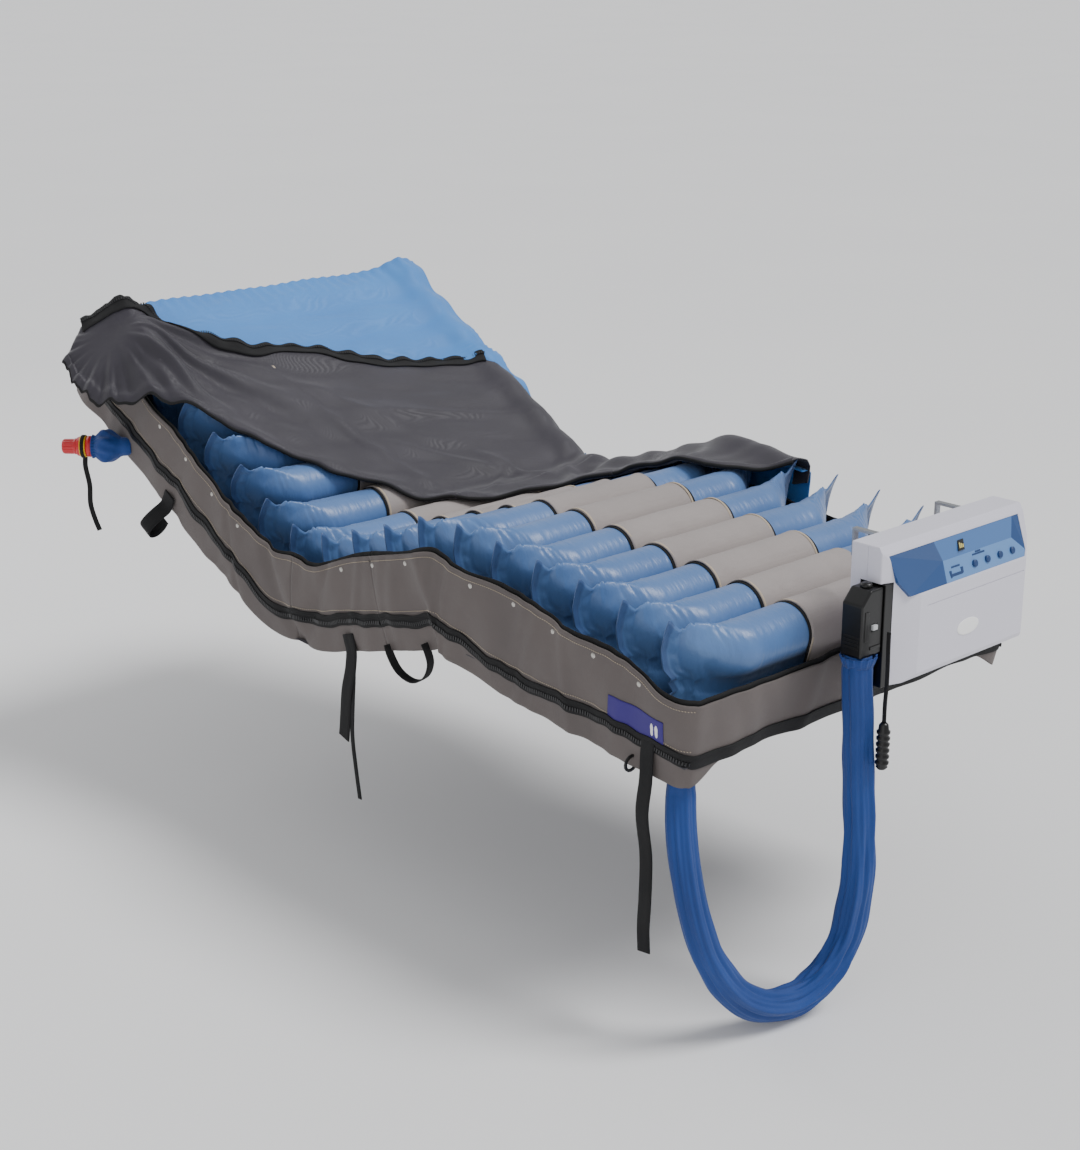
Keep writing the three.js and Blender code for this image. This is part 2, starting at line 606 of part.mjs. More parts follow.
for (const name of Object.keys(SECTIONS)) {
  addCells(name);
  addLoops(name);
}
addCovers();
addTopCover();
addAirLines();
addZipSlider();
addRescueValve();
addStraps();
addPumpCase();
addControls();
addPumpInside();
addHooks();
addConnector();
addTransportCap();
addHose();

export default mattress;
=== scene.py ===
"""Pressure relief mattress: air cells, zipped cover, pump, air hose, rescue valve and fixing straps.

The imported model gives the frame: metres, +X to the foot end, +Y to the far side, +Z up, with the
origin under the middle of the seat section. Everything soft is built here around that frame.
"""

import json
import logging
import math
from dataclasses import dataclass, field
from enum import Enum
from typing import Any, Callable, Iterable, Optional, Sequence

import bmesh
import bpy
import numpy as np
from mathutils import Matrix, Vector, noise

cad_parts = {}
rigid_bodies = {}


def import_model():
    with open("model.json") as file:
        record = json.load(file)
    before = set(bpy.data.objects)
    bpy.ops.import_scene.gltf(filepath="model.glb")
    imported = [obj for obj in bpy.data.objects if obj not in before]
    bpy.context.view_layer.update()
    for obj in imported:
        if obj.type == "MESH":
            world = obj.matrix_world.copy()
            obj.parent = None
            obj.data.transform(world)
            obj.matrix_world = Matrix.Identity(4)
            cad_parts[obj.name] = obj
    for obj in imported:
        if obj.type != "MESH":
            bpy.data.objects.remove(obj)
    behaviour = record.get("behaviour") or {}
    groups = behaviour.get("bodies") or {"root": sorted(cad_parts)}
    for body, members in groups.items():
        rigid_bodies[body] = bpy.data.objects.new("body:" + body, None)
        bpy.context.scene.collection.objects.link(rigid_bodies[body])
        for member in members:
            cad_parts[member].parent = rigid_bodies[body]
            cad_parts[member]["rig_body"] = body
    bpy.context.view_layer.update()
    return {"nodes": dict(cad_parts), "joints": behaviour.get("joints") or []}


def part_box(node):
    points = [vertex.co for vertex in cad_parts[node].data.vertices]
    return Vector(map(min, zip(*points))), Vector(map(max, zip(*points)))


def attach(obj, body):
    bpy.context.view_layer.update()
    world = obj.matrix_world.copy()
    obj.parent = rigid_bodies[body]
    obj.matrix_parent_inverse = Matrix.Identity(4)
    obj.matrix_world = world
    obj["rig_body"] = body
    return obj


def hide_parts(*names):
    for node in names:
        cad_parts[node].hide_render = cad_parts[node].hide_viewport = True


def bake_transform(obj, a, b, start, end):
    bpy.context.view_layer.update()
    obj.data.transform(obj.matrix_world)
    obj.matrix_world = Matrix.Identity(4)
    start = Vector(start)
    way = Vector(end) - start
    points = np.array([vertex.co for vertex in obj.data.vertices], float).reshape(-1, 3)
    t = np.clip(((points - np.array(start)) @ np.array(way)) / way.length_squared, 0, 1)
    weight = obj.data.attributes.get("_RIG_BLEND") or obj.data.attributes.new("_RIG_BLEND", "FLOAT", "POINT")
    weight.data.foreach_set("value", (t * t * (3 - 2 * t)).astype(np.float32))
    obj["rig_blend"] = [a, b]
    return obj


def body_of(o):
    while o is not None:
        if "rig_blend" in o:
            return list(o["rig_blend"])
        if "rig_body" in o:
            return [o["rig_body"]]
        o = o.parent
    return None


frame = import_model()

LOG = logging.getLogger("mattress")
Point = tuple[float, float, float]
ROOT = "seat_section_and_pump"
CELL_PITCH = 0.110


# ---- Shader building -------------------------------------------------------------------------
def tone(code: str, alpha: float = 1.0) -> tuple[float, float, float, float]:
    """Linear colour of a six-digit hexadecimal colour code."""
    parts = [int(code[i:i + 2], 16) / 255 for i in (0, 2, 4)]
    red, green, blue = (p / 12.92 if p <= 0.04045 else ((p + 0.055) / 1.055) ** 2.4 for p in parts)
    return red, green, blue, alpha


class Wire:
    """A shader socket that takes part in Python sums."""

    def __init__(self, bench: "Bench", socket: bpy.types.NodeSocket) -> None:
        """Keeps the bench the nodes are made on and the socket."""
        self.bench = bench
        self.socket = socket

    def maths(self, operation: str, *others: Any) -> "Wire":
        """Adds one Math node.

        Args:
            operation: the Math node's operation.
            others: further operands, numbers or wires.

        Returns:
            The result as a wire.
        """
        inputs = {i: value for i, value in enumerate((self, *others))}
        return self.bench.node("ShaderNodeMath", {"operation": operation}, inputs)

    def __add__(self, other: Any) -> "Wire":
        """Sum."""
        return self.maths("ADD", other)

    __radd__ = __add__

    def __sub__(self, other: Any) -> "Wire":
        """Difference."""
        return self.maths("SUBTRACT", other)

    def __rsub__(self, other: float) -> "Wire":
        """Difference the other way round."""
        return (self * -1.0) + other

    def __mul__(self, other: Any) -> "Wire":
        """Product."""
        return self.maths("MULTIPLY", other)

    __rmul__ = __mul__

    def __pow__(self, other: Any) -> "Wire":
        """Power."""
        return self.maths("POWER", other)

    def sine(self) -> "Wire":
        """Sine."""
        return self.maths("SINE")

    def clamped(self) -> "Wire":
        """The value kept between 0 and 1."""
        return self.bench.node("ShaderNodeClamp", {}, {"Value": self})


class Bench:
    """The node tree of one material."""

    def __init__(self, name: str) -> None:
        """Starts a material with only its output node."""
        self.material = bpy.data.materials.new(name)
        self.material.use_nodes = True
        self.tree = self.material.node_tree
        self.tree.nodes.clear()
        self.output = self.tree.nodes.new("ShaderNodeOutputMaterial")

    def node(self, kind: str, settings: Optional[dict] = None, inputs: Optional[dict] = None,
             out: Any = 0, stops: Optional[Sequence[tuple]] = None) -> Wire:
        """Adds one node.

        Args:
            kind: the node's type name.
            settings: properties set before the sockets.
            inputs: values or wires by socket name or number.
            out: name or number of the socket that is returned.
            stops: position and colour pairs of a colour ramp.

        Returns:
            The chosen output as a wire.
        """
        made = self.tree.nodes.new(kind)
        for key, value in (settings or {}).items():
            setattr(made, key, value)
        if stops:
            ramp = made.color_ramp
            while len(ramp.elements) < len(stops):
                ramp.elements.new(0.5)
            for element, (place, colour) in zip(ramp.elements, stops):
                element.position = place
                element.color = colour
        for key, value in (inputs or {}).items():
            if isinstance(value, Wire):
                self.tree.links.new(value.socket, made.inputs[key])
            else:
                made.inputs[key].default_value = value
        return Wire(self, made.outputs[out])

    def place(self) -> Wire:
        """The point on the surface, in metres."""
        return self.node("ShaderNodeTexCoord", out="Object")

    def axis(self, vector: Wire, number: int) -> Wire:
        """One coordinate of a vector."""
        return self.node("ShaderNodeSeparateXYZ", {}, {0: vector}, out=number)

    def cloud(self, scale: float, detail: float = 3.0, stretch: Point = (1.0, 1.0, 1.0)) -> Wire:
        """Soft noise around 0.5.

        Args:
            scale: features per metre.
            detail: octaves.
            stretch: how much finer the noise is along each axis.

        Returns:
            The noise value.
        """
        vector = self.place()
        if stretch != (1.0, 1.0, 1.0):
            vector = self.node("ShaderNodeVectorMath", {"operation": "MULTIPLY"}, {0: vector, 1: stretch})
        return self.node("ShaderNodeTexNoise", {}, {"Vector": vector, "Scale": scale, "Detail": detail})

    def blend(self, amount: Wire, first: Any, second: Any) -> Wire:
        """Mix of two colours by an amount from 0 to 1."""
        return self.node("ShaderNodeMix", {"data_type": "RGBA"}, {0: amount, 6: first, 7: second}, out=2)

    def bump(self, height: Wire, distance: float, strength: float = 1.0) -> Wire:
        """A normal bent by a height in metres times the distance."""
        return self.node("ShaderNodeBump", {}, {"Height": height, "Distance": distance, "Strength": strength})

    def finish(self, values: dict) -> bpy.types.Material:
        """Adds the surface shader.

        Args:
            values: the shader's inputs by name.

        Returns:
            The finished material.
        """
        shader = self.node("ShaderNodeBsdfPrincipled", {}, values)
        self.tree.links.new(shader.socket, self.output.inputs["Surface"])
        return self.material


@dataclass(frozen=True)
class CoatedCloth:
    """Coated or woven cloth with a thread pattern, soft creases and slight mottling."""

    name: str
    colour: str
    shade: str
    roughness: float
    thread: float = 0.0016            # metres between threads
    thread_depth: float = 0.00012
    crease_scale: float = 14.0
    crease_depth: float = 0.0022
    stretch: Point = (1.0, 1.0, 1.0)
    sheen: float = 0.1

    def build(self) -> bpy.types.Material:
        """The cloth's material."""
        bench = Bench(self.name)
        where = bench.place()
        turn = 2 * math.pi / self.thread
        ways = [(bench.axis(where, i) * turn).sine() for i in range(3)]
        weave = (ways[0] * ways[1]) + (ways[1] * ways[2]) + (ways[0] * ways[2])
        crease = bench.cloud(self.crease_scale, 4.0, self.stretch)
        mottle = bench.cloud(5.0, 4.0)
        speck = bench.cloud(420.0, 2.0)
        amount = ((mottle - 0.5) * 1.1 + (speck - 0.5) * 0.35 + 0.5).clamped()
        colour = bench.blend(amount, tone(self.shade), tone(self.colour))
        folds = bench.bump(crease, self.crease_depth)
        normal = bench.node("ShaderNodeBump", {}, {"Height": weave, "Distance": self.thread_depth,
                                                   "Strength": 0.6, "Normal": folds})
        rough = (speck - 0.5) * 0.12 + self.roughness
        return bench.finish({"Base Color": colour, "Roughness": rough, "Normal": normal,
                             "Sheen Weight": self.sheen, "Sheen Roughness": 0.45})


@dataclass(frozen=True)
class CellFilm:
    """Satin coated nylon of an air cell: fine creases across the tube and a darker welded rim."""

    name: str
    colour: str
    shade: str
    rim: str

    def build(self) -> bpy.types.Material:
        """The air cell's material, which darkens where the weld attribute is 1."""
        bench = Bench(self.name)
        weld = bench.node("ShaderNodeAttribute", {"attribute_name": "weld"}, out="Fac")
        mottle = bench.cloud(7.0, 4.0)
        amount = ((mottle - 0.5) * 0.9 + 0.5).clamped()
        cloth = bench.blend(amount, tone(self.shade), tone(self.colour))
        colour = bench.blend((weld * 0.5).clamped(), cloth, tone(self.rim))
        ripple = bench.cloud(30.0, 3.0, (1.0, 3.2, 1.0))
        fine = bench.cloud(520.0, 2.0)
        soft = bench.bump(ripple, 0.0016)
        normal = bench.node("ShaderNodeBump", {}, {"Height": fine, "Distance": 0.00025,
                                                   "Strength": 0.5, "Normal": soft})
        rough = (mottle - 0.5) * 0.16 + 0.36
        return bench.finish({"Base Color": colour, "Roughness": rough, "Normal": normal,
                             "Sheen Weight": 0.15, "Specular IOR Level": 0.55})


@dataclass(frozen=True)
class MouldedPlastic:
    """Moulded plastic with a fine grain and lightly rubbed, dusty patches."""

    name: str
    colour: str
    roughness: float = 0.4
    grain: float = 900.0
    grain_depth: float = 0.00012
    wear: float = 0.06
    coat: float = 0.0

    def build(self) -> bpy.types.Material:
        """The plastic's material."""
        bench = Bench(self.name)
        patch = bench.cloud(9.0, 5.0)
        amount = ((patch - 0.5) * 1.4 + 0.5).clamped()
        base = tone(self.colour)
        worn = tuple(c * (1 - self.wear) for c in base[:3]) + (1.0,)
        colour = bench.blend(amount, worn, base)
        grain = bench.cloud(self.grain, 2.0)
        rough = (patch - 0.5) * 0.14 + self.roughness
        return bench.finish({"Base Color": colour, "Roughness": rough, "Coat Weight": self.coat,
                             "Normal": bench.bump(grain, self.grain_depth, 0.5)})


@dataclass(frozen=True)
class BrushedMetal:
    """Metal brushed along one axis."""

    name: str
    colour: str
    stretch: Point = (1.0, 30.0, 30.0)
    roughness: float = 0.32

    def build(self) -> bpy.types.Material:
        """The metal's material."""
        bench = Bench(self.name)
        lines = bench.cloud(90.0, 3.0, self.stretch)
        rough = (lines - 0.5) * 0.3 + self.roughness
        base = tone(self.colour)
        colour = bench.blend(lines, tuple(c * 0.75 for c in base[:3]) + (1.0,), base)
        return bench.finish({"Base Color": colour, "Roughness": rough, "Metallic": 1.0,
                             "Normal": bench.bump(lines, 0.0001, 0.5)})


class Finishes:
    """Every material of the mattress, made once and shared by name."""

    RECIPES: dict[str, Any] = {
        "cell": CellFilm("cell_film", "6489bd", "41669f", "22386a"),
        "loop": CoatedCloth("loop_cloth", "aaa29f", "938b89", 0.72, crease_scale=26.0, crease_depth=0.002,
                            stretch=(1.0, 0.35, 1.0)),
        "hem": CoatedCloth("hem_cloth", "c9bba6", "b3a48f", 0.8, thread=0.0012),
        "cover": CoatedCloth("cover_cloth", "6d6562", "585150", 0.72, crease_scale=11.0, crease_depth=0.004),
        "floor": CoatedCloth("base_cloth", "4c4a50", "3b393f", 0.75),
        "lining": CoatedCloth("lining_cloth", "0b0b0d", "060608", 0.8, sheen=0.0),
        "charcoal": CoatedCloth("charcoal_cloth", "34303b", "26232c", 0.5, crease_scale=9.0,
                                crease_depth=0.004, sheen=0.25),
        "blue": CoatedCloth("top_cloth_blue", "4b97e2", "3a7fcb", 0.5, crease_scale=12.0,
                            crease_depth=0.003, sheen=0.2),
        "sleeve": CoatedCloth("hose_cloth", "124796", "0b3272", 0.66, crease_scale=30.0, crease_depth=0.002,
                              stretch=(1.0, 1.0, 0.3)),
        "webbing": CoatedCloth("black_webbing", "0e0e11", "08080a", 0.8, sheen=0.0, thread=0.0022,
                               thread_depth=0.0003, crease_depth=0.0006),
        "zip": CoatedCloth("zip_tape", "0d0d10", "070709", 0.75, thread=0.0012, sheen=0.0),
        "teeth": MouldedPlastic("zip_teeth", "1a1a1d", 0.35),
        "case": MouldedPlastic("pump_case", "dfdde9", 0.34, wear=0.04),
        "dark_panel": MouldedPlastic("panel_dark", "2a4f86", 0.34, grain=500.0, coat=0.2),
        "mid_panel": MouldedPlastic("panel_middle", "4675b4", 0.34, grain=500.0, coat=0.2),
        "light_panel": MouldedPlastic("panel_light", "6a95cd", 0.34, grain=500.0, coat=0.2),
        "print": MouldedPlastic("panel_print", "1f3f70", 0.4),
        "badge": MouldedPlastic("blank_badge", "ffffff", 0.3, wear=0.02),
        "display": MouldedPlastic("display_glass", "0c0f12", 0.12, coat=0.6),
        "digit": MouldedPlastic("display_bars", "d7c979", 0.5),
        "black": MouldedPlastic("black_plastic", "0b0b0c", 0.32),
        "grey": MouldedPlastic("grey_plastic", "c8cacc", 0.4),
        "red": MouldedPlastic("valve_red", "d4202a", 0.32, coat=0.2),
        "yellow": MouldedPlastic("valve_yellow", "efc21c", 0.4),
        "label": MouldedPlastic("violet_label", "2f1d7c", 0.5, grain=300.0),
        "print_white": MouldedPlastic("label_print", "f2f1f6", 0.5),
        "tube": MouldedPlastic("air_tube", "cfd8dc", 0.22, coat=0.3),
        "steel": BrushedMetal("brushed_steel", "bfc2c6"),
        "stud": BrushedMetal("stud_metal", "c6c3bd", (1.0, 1.0, 1.0), 0.28),
        "cast": BrushedMetal("cast_alloy", "a7aaae", (1.0, 1.0, 1.0), 0.5),
    }
    made: dict[str, bpy.types.Material] = {}

    @classmethod
    def get(cls, name: str) -> bpy.types.Material:
        """The material of that finish."""
        if name not in cls.made:
            cls.made[name] = cls.RECIPES[name].build()
        return cls.made[name]


# ---- Meshes ----------------------------------------------------------------------------------
def add_mesh(name: str, points: Any, faces: Iterable[Sequence[int]], finish: str,
             smooth: bool = True) -> bpy.types.Object:
    """Makes a mesh object at the origin.

    Args:
        name: the piece's name.
        points: its vertices, in metres.
        faces: vertex numbers of each face.
        finish: name of its finish.
        smooth: whether faces are shaded smooth.

    Returns:
        The new object.
    """
    mesh = bpy.data.meshes.new(name)
    mesh.from_pydata([tuple(map(float, p)) for p in points], [], [tuple(map(int, f)) for f in faces])
    mesh.polygons.foreach_set("use_smooth", [smooth] * len(mesh.polygons))
    mesh.materials.append(Finishes.get(finish))
    mesh.update()
    piece = bpy.data.objects.new(name, mesh)
    bpy.context.scene.collection.objects.link(piece)
    return piece


def grid_faces(rows: int, columns: int, closed: bool = False) -> list[tuple[int, ...]]:
    """Quads of a grid of points stored row by row, closed around the columns if asked."""
    last = columns if closed else columns - 1
    faces = []
    for r in range(rows - 1):
        for c in range(last):
            n = (c + 1) % columns
            faces.append((r * columns + c, r * columns + n, (r + 1) * columns + n, (r + 1) * columns + c))
    return faces


def tidy_normals(piece: bpy.types.Object, merge: float = 1e-6) -> bpy.types.Object:
    """Merges doubles and turns the faces of a closed piece outwards."""
    work = bmesh.new()
    work.from_mesh(piece.data)
    bmesh.ops.remove_doubles(work, verts=work.verts, dist=merge)
    bmesh.ops.recalc_face_normals(work, faces=work.faces)
    work.to_mesh(piece.data)
    work.free()
    return piece


def baked(piece: bpy.types.Object) -> bpy.types.Object:
    """Turns the modifiers' result into the piece's own mesh."""
    evaluated = piece.evaluated_get(bpy.context.evaluated_depsgraph_get())
    mesh = bpy.data.meshes.new_from_object(evaluated)
    piece.modifiers.clear()
    piece.data = mesh
    return piece


def thicken(piece: bpy.types.Object, thickness: float, offset: float = 0.0) -> bpy.types.Object:
    """Gives a sheet its thickness."""
    solid = piece.modifiers.new("thickness", "SOLIDIFY")
    solid.thickness = thickness
    solid.offset = offset
    return baked(piece)


def rounded(piece: bpy.types.Object, width: float, segments: int = 3,
            angle: float = 30.0) -> bpy.types.Object:
    """Rounds the sharp edges and keeps flat faces flat."""
    bevel = piece.modifiers.new("edges", "BEVEL")
    bevel.width = width
    bevel.segments = segments
    bevel.limit_method = "ANGLE"
    bevel.angle_limit = math.radians(angle)
    bevel.harden_normals = False
    weighted = piece.modifiers.new("shading", "WEIGHTED_NORMAL")
    weighted.keep_sharp = True
    return baked(piece)


def joined(name: str, pieces: Sequence[bpy.types.Object]) -> bpy.types.Object:
    """Joins pieces into one object, materials included."""
    work = bmesh.new()
    materials: list[bpy.types.Material] = []
    for piece in pieces:
        first = len(work.faces)
        work.from_mesh(piece.data)
        work.faces.ensure_lookup_table()
        numbers = []
        for material in piece.data.materials:
            if material not in materials:
                materials.append(material)
            numbers.append(materials.index(material))
        for face in work.faces[first:]:
            face.material_index = numbers[min(face.material_index, len(numbers) - 1)]
    mesh = bpy.data.meshes.new(name)
    work.to_mesh(mesh)
    work.free()
    for material in materials:
        mesh.materials.append(material)
    for piece in pieces:
        bpy.data.objects.remove(piece)
    result = bpy.data.objects.new(name, mesh)
    bpy.context.scene.collection.objects.link(result)
    return result


def block(name: str, low: Sequence[float], high: Sequence[float], finish: str,
          round_by: float = 0.001, segments: int = 2) -> bpy.types.Object:
    """A box between two corners with rounded edges."""
    x, y, z = zip(low, high)
    points = [(x[i & 1], y[(i >> 1) & 1], z[(i >> 2) & 1]) for i in range(8)]
    faces = [(0, 2, 3, 1), (4, 5, 7, 6), (0, 1, 5, 4), (2, 6, 7, 3), (0, 4, 6, 2), (1, 3, 7, 5)]
    return rounded(add_mesh(name, points, faces, finish), round_by, segments)


def turned(name: str, profile: Sequence[tuple[float, float]], origin: Sequence[float], axis: Sequence[float],
           finish: str, sides: int = 48, round_by: float = 0.0) -> bpy.types.Object:
    """A turned piece.

    Args:
        name: the piece's name.
        profile: (radius, height) points from the axis and back to it.
        origin: where height 0 is.
        axis: the direction of height.
        finish: name of its finish.
        sides: facets around the axis.
        round_by: width of the rounded edges.

    Returns:
        The closed piece.
    """
    turn = Vector((0, 0, 1)).rotation_difference(Vector(axis)).to_matrix()
    points: list[Vector] = []
    for radius, height in profile:
        for i in range(sides):
            angle = 2 * math.pi * i / sides
            local = Vector((radius * math.cos(angle), radius * math.sin(angle), height))
            points.append(Vector(origin) + turn @ local)
    piece = add_mesh(name, points, grid_faces(len(profile), sides, closed=True), finish)
    tidy_normals(piece, 1e-5)
    return rounded(piece, round_by) if round_by else piece


def rise(value: Any, low: float, high: float) -> Any:
    """A smooth step from 0 at low to 1 at high."""
    t = np.clip((np.asarray(value, float) - low) / (high - low), 0, 1)
    return t * t * (3 - 2 * t)


def waves(points: np.ndarray, scale: Point, seed: float, octaves: int = 3) -> np.ndarray:
    """Repeatable soft noise between about -1 and 1 at each point."""
    shift = Vector((seed * 7.31, seed * 3.17, seed * 5.77))
    return np.array([
        noise.fractal(Vector((p[0] * scale[0], p[1] * scale[1], p[2] * scale[2])) + shift, 0.8, 2.1, octaves)
        for p in points])


def curve_through(points: Sequence[Sequence[float]], per_span: int = 12) -> np.ndarray:
    """Points of a smooth centripetal curve through the given points."""
    given = np.array(points, float)
    ends = np.vstack([2 * given[0] - given[1], given, 2 * given[-1] - given[-2]])
    made = []
    for i in range(1, len(ends) - 2):
        p = ends[i - 1:i + 3]
        knots = np.concatenate([[0], np.cumsum(np.sqrt(np.linalg.norm(np.diff(p, axis=0), axis=1)))])
        for t in np.linspace(knots[1], knots[2], per_span, endpoint=False):
            rows = [p[j] * (knots[j + 1] - t) / (knots[j + 1] - knots[j])
                    + p[j + 1] * (t - knots[j]) / (knots[j + 1] - knots[j]) for j in range(3)]
            pairs = [rows[j] * (knots[j + 2] - t) / (knots[j + 2] - knots[j])
                     + rows[j + 1] * (t - knots[j]) / (knots[j + 2] - knots[j]) for j in range(2)]
            made.append(pairs[0] * (knots[2] - t) / (knots[2] - knots[1])
                        + pairs[1] * (t - knots[1]) / (knots[2] - knots[1]))
    made.append(given[-1])
    return np.array(made)


def path_frames(path: np.ndarray, side: Point) -> tuple[np.ndarray, np.ndarray]:
    """Two crosswise unit vectors at each point of a path, carried along without twist."""
    tangents = np.gradient(path, axis=0)
    tangents /= np.linalg.norm(tangents, axis=1)[:, None]
    across = [np.array(side, float)]
    for tangent in tangents:
        v = across[-1] - tangent * (across[-1] @ tangent)
        across.append(v / np.linalg.norm(v))
    first = np.array(across[1:])
    return first, np.cross(tangents, first)


def ribbon(name: str, points: Sequence[Sequence[float]], side: Point, width: float, thickness: float,
           finish: str, per_span: int = 8) -> bpy.types.Object:
    """A flat band that follows a path.

    Args:
        name: the piece's name.
        points: the path's points.
        side: the direction of the band's width at its start.
        width: width of the band.
        thickness: thickness of the band.
        finish: name of its finish.
        per_span: points made between two given ones.

    Returns:
        The closed band.
    """
    path = curve_through(points, per_span)
    across, up = path_frames(path, side)
    w, t = width / 2, thickness / 2
    section = [(-w, -t), (-w * 0.5, -t * 1.2), (0, -t), (w * 0.5, -t * 1.2), (w, -t),
               (w, t), (w * 0.5, t * 1.2), (0, t), (-w * 0.5, t * 1.2), (-w, t)]
    rings = [path[i] + a * across[i] + b * up[i] for i in range(len(path)) for a, b in section]
    n = len(section)
    faces = grid_faces(len(path), n, closed=True)
    faces += [tuple(range(n)), tuple((len(path) - 1) * n + i for i in range(n))[::-1]]
    return tidy_normals(add_mesh(name, rings, faces, finish))


# ---- The folded line that the sections follow ------------------------------------------------
@dataclass(frozen=True)
class Section:
    """One straight section: a known corner, the cell count there and the slope up to the foot."""

    corner: tuple[float, float]
    cell: float
    slope: float


def hinge(name: str) -> Vector:
    """The place of a joint at rest."""
    joint = next(j for j in frame["joints"] if j["name"] == name)
    return Vector(joint["pos_m"])


class Spine:
    """The line of the cells' upper corners: counted in cells from the foot, across and above it."""

    HIP, THIGH, KNEE = 11.46, 10.38, 6.7
    HIP_HALF, THIGH_HALF, KNEE_HALF = 0.5, 0.5, 0.7
    FOOT_END, HEAD_END = 0.5, 18.5

    def __init__(self) -> None:
        """Reads the fold points from the model's joints."""
        hip = hinge("back_fold")
        thigh = hinge("thigh_fold")
        rise_angle = math.radians(17.76)
        length = (self.THIGH - self.KNEE) * CELL_PITCH
        knee = (thigh.x + length * math.cos(rise_angle), thigh.z + length * math.sin(rise_angle))
        self.sections = {
            "back": Section((hip.x, hip.z), self.HIP, math.radians(-29.25)),
            "seat": Section((thigh.x, thigh.z), self.THIGH, 0.0),
            "thigh": Section((thigh.x, thigh.z), self.THIGH, rise_angle),
            "foot": Section(knee, self.KNEE, math.radians(-5.73)),
        }

    def straight(self, name: str, cell: np.ndarray) -> np.ndarray:
        """Points of one section's line, carried on beyond its ends."""
        section = self.sections[name]
        reach = (section.cell - cell) * CELL_PITCH
        return np.stack([section.corner[0] + reach * math.cos(section.slope),
                         section.corner[1] + reach * math.sin(section.slope)], axis=-1)

    def bend(self, cell: np.ndarray) -> tuple[np.ndarray, np.ndarray]:
        """Smooth points of the line, and its slope, at each count of cells."""
        steps = (("seat", self.HIP, self.HIP_HALF), ("thigh", self.THIGH, self.THIGH_HALF),
                 ("foot", self.KNEE, self.KNEE_HALF))
        line = self.straight("back", cell)
        slope = np.full_like(cell, self.sections["back"].slope)
        for name, fold, half in steps:
            share = 1 - rise(cell, fold - half, fold + half)
            line = line * (1 - share[..., None]) + self.straight(name, cell) * share[..., None]
            slope = slope * (1 - share) + self.sections[name].slope * share
        return line, slope

    def at(self, cell: Any, across: Any, above: Any) -> np.ndarray:
        """Points in the row frame.

        Args:
            cell: cells counted from the foot.
            across: metres towards the far side.
            above: metres above the line, square to it.

        Returns:
            One point for each entry.
        """
        cell, across, above = np.broadcast_arrays(
            np.asarray(cell, float), np.asarray(across, float), np.asarray(above, float))
        line, slope = self.bend(cell)
        return np.stack([line[..., 0] - above * np.sin(slope), across,
                         line[..., 1] + above * np.cos(slope)], axis=-1)


SPINE = Spine()


@dataclass(frozen=True)
class Crossing:
    """A stretch of cloth that bends between two bodies."""

    name: str
    first: str
    second: str
    low: float                       # cells from the foot, both ends of the stretch
    high: float
    start: float
    end: float
    nodes: tuple[str, ...] = ()

    def dress(self, piece: bpy.types.Object) -> bpy.types.Object:
        """Lets a piece bend across this fold."""
        start = SPINE.at(self.start, 0.0, 0.0)
        end = SPINE.at(self.end, 0.0, 0.0)
        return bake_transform(piece, self.first, self.second, start=tuple(start), end=tuple(end))


SEAT_MIDDLE, THIGH_MIDDLE = 10.92, 8.54
CROSSINGS = (
    Crossing("back", "back_section", ROOT, SEAT_MIDDLE, 18.58, 12.1, 10.95),
    Crossing("seat", ROOT, "thigh_section", THIGH_MIDDLE, SEAT_MIDDLE, 10.89, 9.8),
    Crossing("foot", "thigh_section", "foot_section", 0.42, THIGH_MIDDLE, 7.3, 6.1),
)


def piecewise(points: Sequence[tuple[float, float]]) -> Callable[[Any], np.ndarray]:
    """A smooth function through (cell, value) points."""
    ordered = sorted(points)
    cells = np.array([p[0] for p in ordered])
    values = np.array([p[1] for p in ordered])

    def read(cell: Any) -> np.ndarray:
        """The value at each count of cells."""
        cell = np.asarray(cell, float)
        return sum(np.interp(cell + d, cells, values) for d in (-0.3, -0.1, 0.1, 0.3)) / 4

    return read


# ---- Repeats made with Geometry Nodes --------------------------------------------------------
class StampKind(Enum):
    """What is repeated along a line."""

    TOOTH = "tooth"
    STUD = "stud"
    SCREW = "screw"
    STITCH = "stitch"
    GRILLE = "grille"


@dataclass(frozen=True)
class Stamp:
    """Size, spacing and finish of a repeated small piece: along the line, across it and outwards."""

    size: Point
    spacing: float
    finish: str
    dome: bool = False


STAMPS = {
    StampKind.TOOTH: Stamp((0.0032, 0.0075, 0.0020), 0.0055, "teeth"),
    StampKind.STUD: Stamp((0.0105, 0.0105, 0.0030), 0.2, "stud", dome=True),
    StampKind.SCREW: Stamp((0.0080, 0.0080, 0.0016), 0.2, "steel", dome=True),
    StampKind.STITCH: Stamp((0.0034, 0.0010, 0.0007), 0.0052, "hem"),
    StampKind.GRILLE: Stamp((0.0030, 0.0360, 0.0014), 0.0080, "black"),
}


